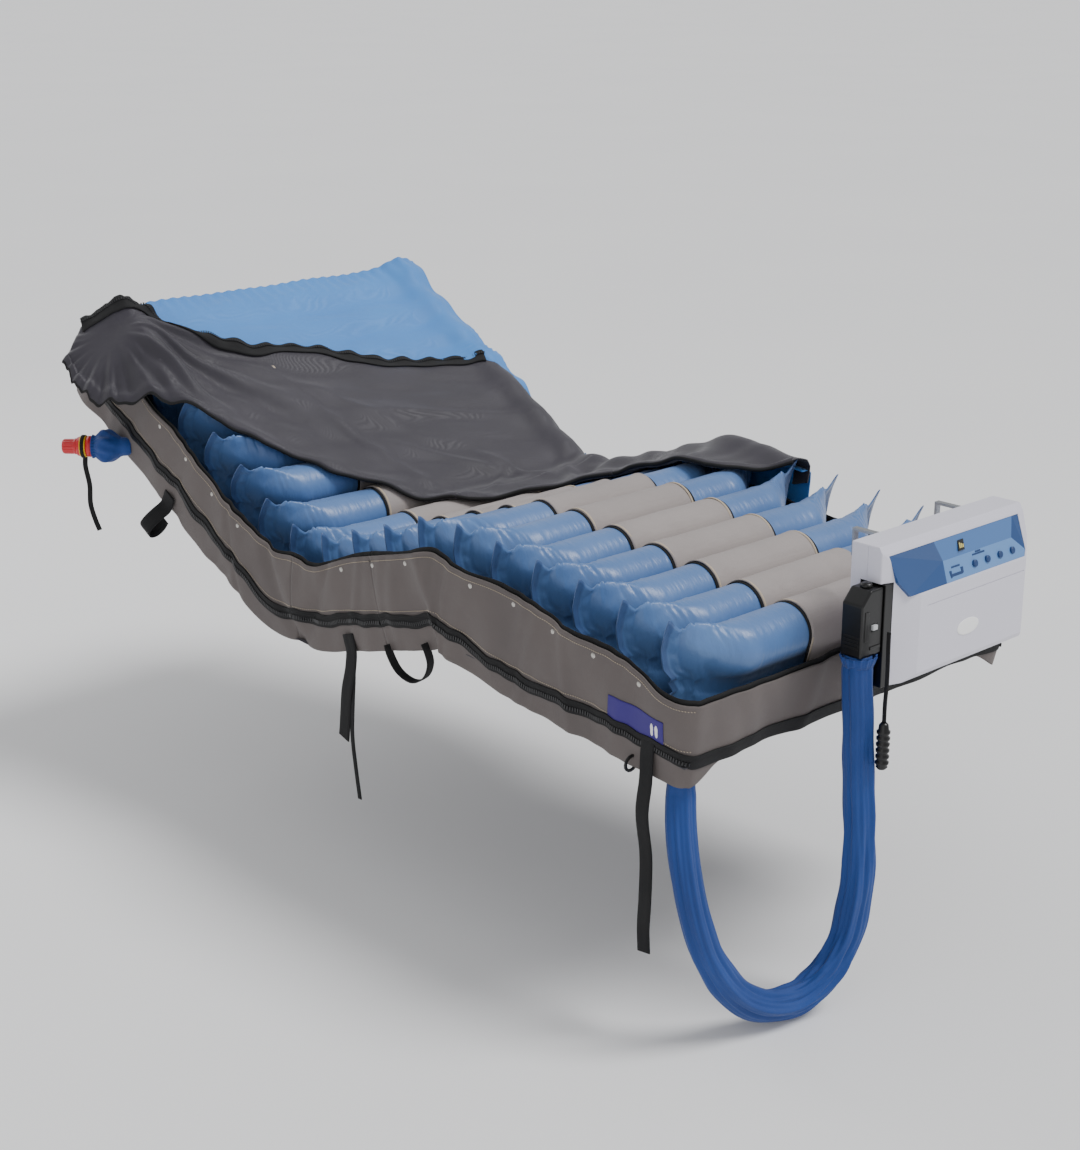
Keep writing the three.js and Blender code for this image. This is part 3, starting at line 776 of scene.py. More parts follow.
class Row:
    """A Geometry Nodes tree that repeats one small piece along lines or at points."""

    def __init__(self, kind: StampKind, along: bool) -> None:
        """Builds the tree.

        Args:
            kind: what is repeated.
            along: True to space the pieces along the lines, False to put one at each point.
        """
        self.stamp = STAMPS[kind]
        self.tree = bpy.data.node_groups.new(f"row_of_{kind.value}", "GeometryNodeTree")
        self.sockets: dict[str, str] = {}
        for name, kind_of in (("Lines", "NodeSocketGeometry"), ("Spacing", "NodeSocketFloat"),
                              ("Size", "NodeSocketVector"), ("Outwards", "NodeSocketVector"),
                              ("Finish", "NodeSocketMaterial")):
            item = self.tree.interface.new_socket(name=name, in_out="INPUT", socket_type=kind_of)
            self.sockets[name] = item.identifier
        self.tree.interface.new_socket(name="Pieces", in_out="OUTPUT", socket_type="NodeSocketGeometry")
        source = self.tree.nodes.new("NodeGroupInput")
        target = self.tree.nodes.new("NodeGroupOutput")
        points = source.outputs["Lines"]
        tangent = None
        if along:
            curve = self.add("GeometryNodeMeshToCurve", {}, {"Mesh": points})
            even = self.add("GeometryNodeResampleCurve", {"mode": "LENGTH"},
                            {"Curve": curve.outputs[0], "Length": source.outputs["Spacing"]})
            points = even.outputs[0]
            tangent = self.add("GeometryNodeInputTangent", {}, {}).outputs[0]
        if self.stamp.dome:
            shape = self.add("GeometryNodeMeshUVSphere", {}, {"Segments": 16, "Rings": 8, "Radius": 0.5})
        else:
            shape = self.add("GeometryNodeMeshCube", {}, {})
        turn = self.add("FunctionNodeAlignRotationToVector", {"axis": "Z"},
                        {"Vector": source.outputs["Outwards"]})
        if tangent is not None:
            turn = self.add("FunctionNodeAlignRotationToVector", {"axis": "X", "pivot_axis": "Z"},
                            {"Rotation": turn.outputs[0], "Vector": tangent})
        placed = self.add("GeometryNodeInstanceOnPoints", {},
                          {"Points": points, "Instance": shape.outputs[0], "Rotation": turn.outputs[0],
                           "Scale": source.outputs["Size"]})
        real = self.add("GeometryNodeRealizeInstances", {}, {"Geometry": placed.outputs[0]})
        dressed = self.add("GeometryNodeSetMaterial", {},
                           {"Geometry": real.outputs[0], "Material": source.outputs["Finish"]})
        self.tree.links.new(dressed.outputs[0], target.inputs[0])

    def add(self, kind: str, settings: dict, inputs: dict) -> bpy.types.Node:
        """Adds one node with its settings and its values or links."""
        made = self.tree.nodes.new(kind)
        for key, value in settings.items():
            setattr(made, key, value)
        for key, value in inputs.items():
            if isinstance(value, bpy.types.NodeSocket):
                self.tree.links.new(value, made.inputs[key])
            else:
                made.inputs[key].default_value = value
        return made

    def lay(self, name: str, lines: Sequence[np.ndarray], outwards: Sequence[float]) -> bpy.types.Object:
        """Repeats the piece along lines.

        Args:
            name: the new piece's name.
            lines: points of each line.
            outwards: the direction that the pieces face.

        Returns:
            The repeated pieces as one plain mesh.
        """
        points = [tuple(map(float, p)) for line in lines for p in line]
        edges = []
        first = 0
        for line in lines:
            edges += [(first + i, first + i + 1) for i in range(len(line) - 1)]
            first += len(line)
        mesh = bpy.data.meshes.new(name)
        mesh.from_pydata(points, edges, [])
        piece = bpy.data.objects.new(name, mesh)
        bpy.context.scene.collection.objects.link(piece)
        maker = piece.modifiers.new("row", "NODES")
        maker.node_group = self.tree
        maker[self.sockets["Spacing"]] = self.stamp.spacing
        maker[self.sockets["Size"]] = self.stamp.size
        maker[self.sockets["Outwards"]] = tuple(map(float, outwards))
        maker[self.sockets["Finish"]] = Finishes.get(self.stamp.finish)
        piece.update_tag()
        baked(piece)
        if not piece.data.materials:
            piece.data.materials.append(Finishes.get(self.stamp.finish))
        return piece


class Rows:
    """The row makers, built once each."""

    made: dict[tuple[StampKind, bool], Row] = {}

    @classmethod
    def get(cls, kind: StampKind, along: bool = True) -> Row:
        """The maker of that kind of row."""
        if (kind, along) not in cls.made:
            cls.made[(kind, along)] = Row(kind, along)
        return cls.made[(kind, along)]


def settle(piece: bpy.types.Object, body: str = "", crossing: Optional[Crossing] = None,
           replaces: Sequence[str] = ()) -> bpy.types.Object:
    """Gives a finished piece its body and the nodes that it stands for.

    Args:
        piece: the finished piece.
        body: the body it rides on, if it is on one body.
        crossing: the fold it bends across, if it crosses one.
        replaces: model nodes that it stands for.

    Returns:
        The same piece.
    """
    if replaces:
        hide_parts(*replaces)
    if crossing:
        crossing.dress(piece)
    else:
        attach(piece, body)
    LOG.info("%s: %d faces", piece.name, len(piece.data.polygons) if piece.type == "MESH" else 0)
    return piece


# ---- Studio ----------------------------------------------------------------------------------
@dataclass
class Studio:
    """Pale floor, soft lights and the camera."""

    place: Point = (3.211, -2.717, 1.410)
    target: Point = (0.250, -0.013, -0.001)
    roll: float = -0.38                # degrees about the line of sight
    lens: float = 62.0
    shift: tuple[float, float] = (0.006, 0.0405)
    floor: float = -0.474

    def camera(self) -> None:
        """Sets up the camera."""
        data = bpy.data.cameras.new("camera")
        data.lens = self.lens
        data.sensor_width = 36.0
        data.shift_x, data.shift_y = self.shift
        data.clip_end = 60.0
        camera = bpy.data.objects.new("camera", data)
        sight = Vector(self.target) - Vector(self.place)
        turn = sight.to_track_quat("-Z", "Y").to_matrix() @ Matrix.Rotation(math.radians(self.roll), 3, "Z")
        camera.matrix_world = Matrix.Translation(self.place) @ turn.to_4x4()
        bpy.context.scene.collection.objects.link(camera)
        bpy.context.scene.camera = camera

    def light(self, name: str, place: Point, power: float, size: float, colour: Point = (1, 1, 1)) -> None:
        """Adds one large soft light that points at the mattress."""
        data = bpy.data.lights.new(name, "AREA")
        data.energy = power
        data.size = size
        data.color = colour
        lamp = bpy.data.objects.new(name, data)
        lamp.location = place
        lamp.rotation_euler = (Vector((0.1, 0, 0)) - Vector(place)).to_track_quat("-Z", "Y").to_euler()
        bpy.context.scene.collection.objects.link(lamp)

    def floor_plane(self) -> None:
        """Lays the plain pale floor."""
        bench = Bench("studio_floor")
        cloud = bench.cloud(0.8, 2.0)
        colour = bench.blend(cloud, (0.86, 0.86, 0.87, 1), (0.90, 0.90, 0.90, 1))
        material = bench.finish({"Base Color": colour, "Roughness": 0.8})
        reach = 60.0
        corners = [(-reach, -reach, self.floor), (reach, -reach, self.floor), (reach, reach, self.floor),
                   (-reach, reach, self.floor)]
        mesh = bpy.data.meshes.new("studio_floor")
        mesh.from_pydata(corners, [], [(0, 1, 2, 3)])
        mesh.materials.append(material)
        floor = bpy.data.objects.new("studio_floor", mesh)
        bpy.context.scene.collection.objects.link(floor)

    def build(self) -> None:
        """Sets up camera, floor, world and lights."""
        self.camera()
        self.floor_plane()
        world = bpy.data.worlds.new("studio")
        world.use_nodes = True
        sky = world.node_tree.nodes["Background"]
        sky.inputs["Color"].default_value = (0.97, 0.98, 1.0, 1)
        sky.inputs["Strength"].default_value = 0.55
        bpy.context.scene.world = world
        data = bpy.data.lights.new("sun", "SUN")
        data.energy = 2.3
        data.angle = math.radians(24)
        sun = bpy.data.objects.new("sun", data)
        sun.rotation_euler = Vector((-0.52, -0.42, -1.0)).to_track_quat("-Z", "Y").to_euler()
        bpy.context.scene.collection.objects.link(sun)
        self.light("fill", (2.8, -3.4, 2.2), 20, 3.0)
        self.light("head", (-3.2, -0.6, 2.8), 30, 2.5)


# ---- Air hose --------------------------------------------------------------------------------
@dataclass
class AirHose:
    """The air hose in its gathered sleeve, from the foot end down, under and up to the connector."""

    radius: float = 0.0268
    fold_depth: float = 0.0046
    sides: int = 96
    route: tuple[Point, ...] = (
        (1.066, -0.415, 0.0136), (1.066, -0.415, -0.012), (1.079, -0.427, -0.062), (1.102, -0.443, -0.112),
        (1.122, -0.450, -0.165), (1.137, -0.446, -0.222), (1.148, -0.428, -0.286), (1.158, -0.396, -0.346),
        (1.168, -0.350, -0.398), (1.181, -0.292, -0.428), (1.194, -0.230, -0.432), (1.206, -0.172, -0.402),
        (1.214, -0.132, -0.346), (1.218, -0.112, -0.270), (1.220, -0.106, -0.186), (1.220, -0.110, -0.090),
        (1.219, -0.119, 0.010), (1.219, -0.128, 0.104), (1.218, -0.135, 0.180), (1.218, -0.135, 0.2156),
    )

    def sleeve(self, path: np.ndarray) -> bpy.types.Object:
        """Makes the sleeve.

        Args:
            path: points of the hose's centre line.

        Returns:
            A closed tube with long soft pleats, flattened where it turns.
        """
        across, up = path_frames(path, (0.0, -1.0, 0.0))
        run = np.concatenate([[0], np.cumsum(np.linalg.norm(np.diff(path, axis=0), axis=1))])
        turn = np.linspace(0, 2 * math.pi, self.sides, endpoint=False)
        rings = []
        for i, centre in enumerate(path):
            share = run[i] / run[-1]
            drift = 1.4 * math.sin(run[i] * 5.1) + 0.8 * math.sin(run[i] * 13.0 + 1.0)
            pleat = (0.55 * np.sin(5 * turn + drift) + 0.35 * np.sin(9 * turn - 1.7 * drift + 2.0)
                     + 0.22 * np.sin(17 * turn + 2.6 * drift))
            gather = 0.35 * np.sin(run[i] * 62 + 3 * np.sin(turn + drift)) * rise(share, 0.12, 0.3)
            slack = 0.35 + 0.65 * math.sin(math.pi * min(max(share, 0.0), 1.0)) ** 0.6
            radius = self.radius + self.fold_depth * slack * (pleat + 0.5 * gather)
            flat = 1 + 0.08 * math.sin(math.pi * share) ** 2
            end = min(run[i], run[-1] - run[i])
            radius = radius * (0.90 + 0.10 * min(1.0, end / 0.03))
            rings.append(centre + (radius * np.cos(turn) * flat)[:, None] * across[i]
                         + (radius * np.sin(turn) / flat)[:, None] * up[i])
        points = np.concatenate(rings)
        faces = grid_faces(len(path), self.sides, closed=True)
        faces += [tuple(range(self.sides)),
                  tuple((len(path) - 1) * self.sides + i for i in range(self.sides))]
        return tidy_normals(add_mesh("air_hose_sleeve", points, faces, "sleeve"))

    def cuff(self) -> bpy.types.Object:
        """Makes the gathered cuff at the outlet."""
        low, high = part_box("hose_cuff")
        middle = ((low[0] + high[0]) / 2, (low[1] + high[1]) / 2)
        turn = np.linspace(0, 2 * math.pi, 120, endpoint=False)
        profile = [(0.0, 0.0), (0.020, 0.0), (0.027, 0.02), (0.0290, 0.15), (0.0300, 0.4), (0.0290, 0.68),
                   (0.0302, 0.84), (0.0300, 0.97), (0.020, 1.0), (0.0, 1.0)]
        rings = []
        for radius, height in profile:
            pleat = 0.0012 * np.sin(26 * turn + 4 * height) * rise(radius, 0.018, 0.028)
            z = low[2] + (high[2] - low[2]) * height
            rings.append(np.stack([middle[0] + (radius + pleat) * np.cos(turn),
                                   middle[1] + (radius + pleat) * np.sin(turn), np.full_like(turn, z)],
                                   axis=1))
        faces = grid_faces(len(profile), 120, closed=True)
        return tidy_normals(add_mesh("hose_cuff_gathered", np.concatenate(rings), faces, "sleeve"), 1e-5)

    def hem(self) -> bpy.types.Object:
        """Makes the ruffled hem of the sleeve under the connector."""
        centre = np.array(self.route[-1])
        turn = np.linspace(0, 2 * math.pi, 144, endpoint=False)
        rings = []
        for radius, drop in ((0.0265, 0.020), (0.0285, 0.013), (0.0305, 0.006), (0.0318, 0.0008),
                             (0.0300, 0.0008), (0.0285, 0.006), (0.0268, 0.013), (0.0250, 0.020)):
            ruffle = 0.0016 * np.sin(15 * turn + 0.8) + 0.0008 * np.sin(31 * turn)
            size = radius + ruffle * (1 - drop / 0.024)
            lift = 0.0008 * np.sin(9 * turn) * (drop > 0.01)
            rings.append(np.stack([centre[0] + size * np.cos(turn), centre[1] + size * np.sin(turn),
                                   centre[2] - drop + lift], axis=1))
        faces = grid_faces(len(rings), 144, closed=True)
        faces += [((len(rings) - 1) * 144 + i, (len(rings) - 1) * 144 + (i + 1) % 144, (i + 1) % 144, i)
                  for i in range(144)]
        return tidy_normals(add_mesh("hose_sleeve_hem", np.concatenate(rings), faces, "sleeve"))

    def build(self) -> None:
        """Builds and dresses the hose."""
        path = curve_through(self.route, 10)
        sleeve = settle(self.sleeve(path), ROOT, replaces=["air_hose"])
        hem = settle(self.hem(), ROOT)
        cuff = settle(self.cuff(), "hose_outlet", replaces=["hose_cuff"])


# ---- Air cells -------------------------------------------------------------------------------
@dataclass
class CellEnd:
    """One blown-up end of an air cell, from the full outline to the flat upright weld.

    Lengths are in the cell's own frame: x to the foot, y across, z up from the line of the upper
    corners. The weld is a line given by its share of the flat height.
    """

    upper: tuple[float, float, float] = (-0.043, 0.050, 0.0515)     # middle height, half height, half width
    lower: tuple[float, float, float] = (-0.150, 0.045, 0.029)
    start: float = 0.255
    end: float = 0.4235
    stations: int = 34
    weld_line: tuple[tuple[float, float, float, float], ...] = (
        (0.00, -0.033, 0.000, 0.019), (0.10, -0.041, 0.001, -0.006), (0.22, -0.047, 0.003, -0.036),
        (0.36, -0.044, 0.010, -0.068), (0.46, -0.034, 0.024, -0.086), (0.54, -0.040, 0.012, -0.094),
        (0.60, -0.028, 0.026, -0.101), (0.70, -0.033, 0.010, -0.118), (0.86, -0.026, 0.010, -0.154),
        (1.00, -0.014, 0.024, -0.182),
    )

    def outline(self) -> np.ndarray:
        """The cross-section's outline, counter-clockwise, the same to the left and right."""
        points = []
        for (middle, high, wide), start, end, count in ((self.upper, -58, 238, 36),
                                                        (self.lower, 125, 415, 24)):
            for i in range(count):
                angle = math.radians(start + (end - start) * i / (count - 1))
                points.append((wide * math.cos(angle), middle + high * math.sin(angle)))
        return np.array(points)

    def partners(self) -> list[int]:
        """The outline point straight across from each one."""
        return [35 - i if i < 36 else 36 + (23 - (i - 36)) for i in range(60)]

    def flat_shares(self, outline: np.ndarray) -> np.ndarray:
        """How far down the flat weld each outline point lies, from 0 to 1."""
        top = (outline[17] + outline[18]) / 2
        reach = np.zeros(len(outline))
        run = np.linalg.norm(outline[18] - top)
        order = list(range(17, -1, -1)) + list(range(59, 47, -1))
        here = top
        run = 0.0
        for i in order:
            run += float(np.linalg.norm(outline[i] - here))
            here = outline[i]
            reach[i] = run
        mates = self.partners()
        for i in order:
            reach[mates[i]] = reach[i]
        return (reach - reach.min()) / (reach.max() - reach.min())

    def start_rings(self) -> np.ndarray:
        """The rings before they are blown up."""
        outline = self.outline()
        share = self.flat_shares(outline)
        line = np.array(self.weld_line)
        weld = np.stack([np.interp(share, line[:, 0], line[:, i]) for i in (1, 2, 3)], axis=1)
        side = np.sign(outline[:, 0]) * 0.0009
        rings = []
        for s in range(self.stations + 1):
            t = s / self.stations
            y = -self.start - (self.end - self.start) * t
            w = float(rise(t, 0.12, 0.94))
            flat = np.stack([weld[:, 0] + side, np.full(len(share), y) + weld[:, 1] * t, weld[:, 2]], axis=1)
            full = np.stack([outline[:, 0], np.full(len(share), y), outline[:, 1]], axis=1)
            rings.append(full * (1 - w) + flat * w)
        return np.array(rings)

    def inflate(self, rings: np.ndarray) -> np.ndarray:
        """Blows the end up as cloth between its pinned outline and its pinned weld.

        Args:
            rings: points by station and outline place.

        Returns:
            The same points after the simulation.
        """
        count, around = rings.shape[:2]
        mesh = bpy.data.meshes.new("cell_end")
        faces = grid_faces(count, around, closed=True)
        faces += [tuple(range(around))[::-1]]
        mates = self.partners()
        last = (count - 1) * around
        faces += [(last + i, last + i + 1, last + mates[i + 1], last + mates[i]) for i in self.half_order()]
        mesh.from_pydata([tuple(map(float, p)) for p in rings.reshape(-1, 3)], [], faces)
        body = bpy.data.objects.new("cell_end", mesh)
        bpy.context.scene.collection.objects.link(body)
        pins = body.vertex_groups.new(name="pins")
        pins.add(list(range(3 * around)) + list(range((count - 3) * around, count * around)), 1.0, "REPLACE")
        cloth = body.modifiers.new("cloth", "CLOTH")
        settings = cloth.settings
        settings.quality = 6
        settings.mass = 0.15
        settings.tension_stiffness = settings.compression_stiffness = 22
        settings.shear_stiffness = 8
        settings.bending_stiffness = 0.12
        settings.air_damping = 3
        settings.shrink_min = settings.shrink_max = -0.012
        settings.vertex_group_mass = "pins"
        settings.use_pressure = True
        settings.uniform_pressure_force = 5.0
        settings.effector_weights.gravity = 0
        scene = bpy.context.scene
        scene.frame_start, scene.frame_end = 1, 34
        for number in range(1, 33):
            scene.frame_set(number)
        evaluated = body.evaluated_get(bpy.context.evaluated_depsgraph_get())
        result = np.array([tuple(v.co) for v in evaluated.data.vertices])
        scene.frame_set(1)
        bpy.data.objects.remove(body)
        moved = result - rings.reshape(-1, 3)
        size = np.linalg.norm(moved, axis=1)[:, None]
        cap = 0.024
        result = rings.reshape(-1, 3) + moved * np.minimum(1, cap / np.maximum(size, 1e-9))
        return result.reshape(rings.shape)

    def half_order(self) -> list[int]:
        """Outline places down one side, whose quads close the flat end."""
        return list(range(0, 17)) + list(range(48, 59))

    def build(self) -> np.ndarray:
        """Makes the end and blows it up."""
        rings = self.start_rings()
        return self.inflate(rings)


@dataclass
class AirCells:
    """The eighteen crosswise air cells, two chambers one on the other."""

    end: CellEnd = field(default_factory=CellEnd)
    lean_reach: float = 1.1
    bodies: tuple[tuple[str, str, int, int], ...] = (
        ("foot_section", "foot", 1, 6), ("thigh_section", "thigh", 7, 10), (ROOT, "seat", 11, 11),
        ("back_section", "back", 12, 18))

    def lean(self, number: float) -> float:
        """The mean slope of the mattress around a cell."""
        edges = {"foot": (0.5, 6.7), "thigh": (6.7, 10.38), "seat": (10.38, 11.46), "back": (11.46, 18.5)}
        total = covered = 0.0
        for name, (start, end) in edges.items():
            low, high = max(number - self.lean_reach, start), min(number + self.lean_reach, end)
            if high > low:
                total += (high - low) * SPINE.sections[name].slope
                covered += high - low
        return total / covered

    def place(self, name: str, number: int) -> tuple[np.ndarray, float]:
        """The upper line point of a cell and its lean."""
        return SPINE.straight(name, np.array(float(number))), self.lean(number)

    def to_frame(self, points: np.ndarray, name: str, number: int) -> np.ndarray:
        """Puts points of a cell's own frame into the model's frame."""
        origin, lean = self.place(name, number)
        x, y, z = points[..., 0], points[..., 1], points[..., 2]
        return np.stack([origin[0] + x * math.cos(lean) - z * math.sin(lean), y,
                         origin[1] + x * math.sin(lean) + z * math.cos(lean)], axis=-1)

    def creases(self, rings: np.ndarray, seed: int) -> np.ndarray:
        """Presses short creases across the top near the ends, and slight irregularities.

        Args:
            rings: points by station and outline place.
            seed: the cell's number.

        Returns:
            The creased points.
        """
        rings = rings.copy()
        centre = np.array([0.0, 0.0, -0.05])
        out = rings - centre
        out[..., 1] = 0
        out /= np.maximum(np.linalg.norm(out, axis=-1, keepdims=True), 1e-6)
        around = np.degrees(np.arctan2(rings[..., 2] + 0.043, rings[..., 0]))
        y = np.abs(rings[..., 1])
        depth = np.zeros(y.shape)
        wander = 3.0 * math.sin(seed * 2.4)
        for i, (at, deep, wide, middle, reach) in enumerate((
                (0.372, 0.0060, 0.0026, 70, 46), (0.361, 0.0046, 0.0022, 84, 40),
                (0.383, 0.0034, 0.0024, 60, 34), (0.335, 0.0016, 0.0030, 92, 46),
                (0.322, 0.0012, 0.0028, 96, 40), (0.309, 0.0009, 0.0028, 88, 44))):
            bend = at + 0.004 * math.sin(seed * 1.7 + i) + 0.00012 * (around - middle + wander)
            span = np.exp(-((around - middle - wander) / reach) ** 4)
            depth += deep * np.exp(-((y - bend) / wide) ** 2) * span
            depth -= 0.45 * deep * np.exp(-((y - bend - 2.1 * wide) / (1.6 * wide)) ** 2) * span
        rings -= out * depth[..., None]
        top = rise(rings[..., 2], -0.060, -0.012)
        saddle = 0.013 * rise(y, 0.402, 0.4235) - 0.012 * np.exp(-((y - 0.389) / 0.013) ** 2)
        rings[..., 2] += top * saddle
        flat = rings.reshape(-1, 3)
        soft = waves(flat, (11.0, 7.0, 11.0), seed, 2).reshape(y.shape)
        fade = 1 - rise(y, 0.412, 0.422)
        return rings + out * (0.0018 * soft * fade)[..., None]

    def rings(self, end: np.ndarray, seed: int) -> tuple[np.ndarray, np.ndarray]:
        """All rings of one cell from the near tip to the far tip.

        Args:
            end: the blown-up near end.
            seed: the cell's number.

        Returns:
            The points by ring, and how much of the weld each ring is.
        """
        stations = np.arange(len(end))
        dense = np.concatenate([np.arange(0, 12, 0.5), np.arange(12, 28, 0.25),
                                np.arange(28, len(end) - 0.9, 0.5)])
        low = np.clip(dense.astype(int), 0, len(end) - 2)
        t = (dense - low)[:, None, None]
        before = end[np.clip(low - 1, 0, None)]
        first, second = end[low], end[low + 1]
        after = end[np.clip(low + 2, None, len(end) - 1)]
        near = (first + 0.5 * t * (second - before + t * (2 * before - 5 * first + 4 * second - after
                                                          + t * (3 * (first - second) + after - before))))
        weld = np.clip((dense - (stations[-1] - 3.5)) / 1.0, 0, 1)
        near, weld = near[::-1], weld[::-1]
        middle_y = np.linspace(-self.end.start, self.end.start, 26)[1:-1]
        full = end[0]
        middle = np.stack([np.stack([full[:, 0], np.full(len(full), y), full[:, 2]], axis=1)
                           for y in middle_y])
        far = near[::-1].copy()
        far[..., 1] *= -1
        both = np.concatenate([near, middle, far])
        return self.creases(both, seed), np.concatenate([weld, np.zeros(len(middle)), weld[::-1]])

    def build(self) -> None:
        """Builds and dresses every cell."""
        end = self.end.build()
        around = end.shape[1]
        mates = self.end.partners()
        for body, name, first, last in self.bodies:
            for number in range(first, last + 1):
                rings, weld = self.rings(end, number)
                count = len(rings)
                faces = grid_faces(count, around, closed=True)
                top = (count - 1) * around
                for i in self.end.half_order():
                    faces.append((i + 1, i, mates[i], mates[i + 1]))
                    faces.append((top + i, top + i + 1, top + mates[i + 1], top + mates[i]))
                faces += [(59, 0, 35, 36), (top, top + 59, top + 36, top + 35)]
                points = self.to_frame(rings, name, number).reshape(-1, 3)
                piece = add_mesh(f"air_cell_{number:02d}", points, faces, "cell")
                mark = piece.data.attributes.new("weld", "FLOAT", "POINT")
                mark.data.foreach_set("value", np.repeat(weld, around).astype(np.float32))
                tidy_normals(piece, 1e-7)
                settle(piece, body, replaces=[f"cell_{number:02d}"])


# ---- Grey sleeve bands -----------------------------------------------------------------------
@dataclass
class CellLoops:
    """The grey bands that hold the middle of the cells down, sewn to a strip on the floor."""

    cells: AirCells
    half_length: float = 0.140
    proud: float = 0.0028
    thickness: float = 0.0022
    leg: float = 0.0536

    def profile(self, grow: float) -> np.ndarray:
        """The band's cross-section over a cell, as an arch with two straight legs."""
        middle, high, wide = self.cells.end.upper
        angles = np.radians(np.linspace(-12, 192, 41))
        arch = np.stack([np.minimum(wide + grow, self.leg) * np.cos(angles),
                         middle + (high + grow) * np.sin(angles)], axis=1)
        low = -0.196
        right = [(arch[0, 0] * (1 - 0.35 * s), arch[0, 1] + (low - arch[0, 1]) * s)
                 for s in (1, 0.75, 0.5, 0.25)]
        left = [(-x, z) for x, z in right[::-1]]
        return np.array(right + [tuple(p) for p in arch] + left)

    def band(self, name: str, section: str, number: int) -> bpy.types.Object:
        """Makes the band of one cell."""
        stations = np.linspace(-self.half_length, self.half_length, 41)
        outer = self.profile(self.proud)
        count = len(outer)
        rings = []
        for y in stations:
            hem = 0.0009 * math.exp(-((self.half_length - abs(y)) / 0.004) ** 2)
            pull = 1.0 - 0.010 * math.exp(-((self.half_length - abs(y)) / 0.030) ** 2)
            ring = np.stack([outer[:, 0] * pull, np.full(count, y), outer[:, 1] + hem], axis=1)
            rings.append(ring)
        points = np.array(rings)
        flat = points.reshape(-1, 3)
        slack = waves(flat, (5.0, 16.0, 9.0), 40 + number, 3).reshape(points.shape[:2])
        diagonal = np.sin(95 * points[..., 1] + 46 * points[..., 0] * (1 if number % 2 else -1) + number)
        edge = np.exp(-((self.half_length - np.abs(points[..., 1])) / 0.045) ** 2)
        lift = 0.0011 * slack + 0.0008 * diagonal * edge
        points[..., 2] += lift * (points[..., 2] > -0.09)
        world = self.cells.to_frame(points, section, number)
        piece = add_mesh(name, world.reshape(-1, 3), grid_faces(len(stations), count), "loop")
        return thicken(piece, self.thickness)

    def edging(self, name: str, section: str, number: int, y: float, width: float, grow: float,
               finish: str) -> bpy.types.Object:
        """Makes a narrow line across one cell, such as a hem, or a black strip of painted shadow beside a
        band edge.
        """
        outer = self.profile(grow)[3:-3]
        rings = [np.stack([outer[:, 0], np.full(len(outer), y + s * width / 2), outer[:, 1]], axis=1)
                 for s in (-1, 1)]
        world = self.cells.to_frame(np.array(rings), section, number)
        piece = add_mesh(name, world.reshape(-1, 3), grid_faces(2, len(outer)), finish)
        return thicken(piece, 0.0012)

    def build(self) -> None:
        """Builds the bands of each section, with their cream hems and a black strip of painted shadow just
        outside each band edge.
        """
        for body, section, first, last in self.cells.bodies:
            bands, hem_strips_and_painted_shadows = [], []
            for number in range(first, last + 1):
                bands.append(self.band(f"band_{number}", section, number))
                for side in (-1, 1):
                    hem_strips_and_painted_shadows.append(self.edging("hem", section, number, side * (self.half_length - 0.003), 0.005,
                                            self.proud + 0.0016, "hem"))
                    # The black strip just outside each band edge is painted shadow: the dark shade line where
                    # the band stands proud of the cell.
                    hem_strips_and_painted_shadows.append(self.edging("line", section, number, side * (self.half_length + 0.003), 0.006,
                                            0.0012, "lining"))
            low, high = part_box(f"cell_loops_{section}")
            settle(joined(f"cell_bands_{section}", bands), body,
                   replaces=[f"cell_loops_{section}"])
            settle(joined(f"cell_band_hems_{section}", hem_strips_and_painted_shadows), body)
            LOG.info("bands of %s reach from %.3f to %.3f", section, low[0], high[0])


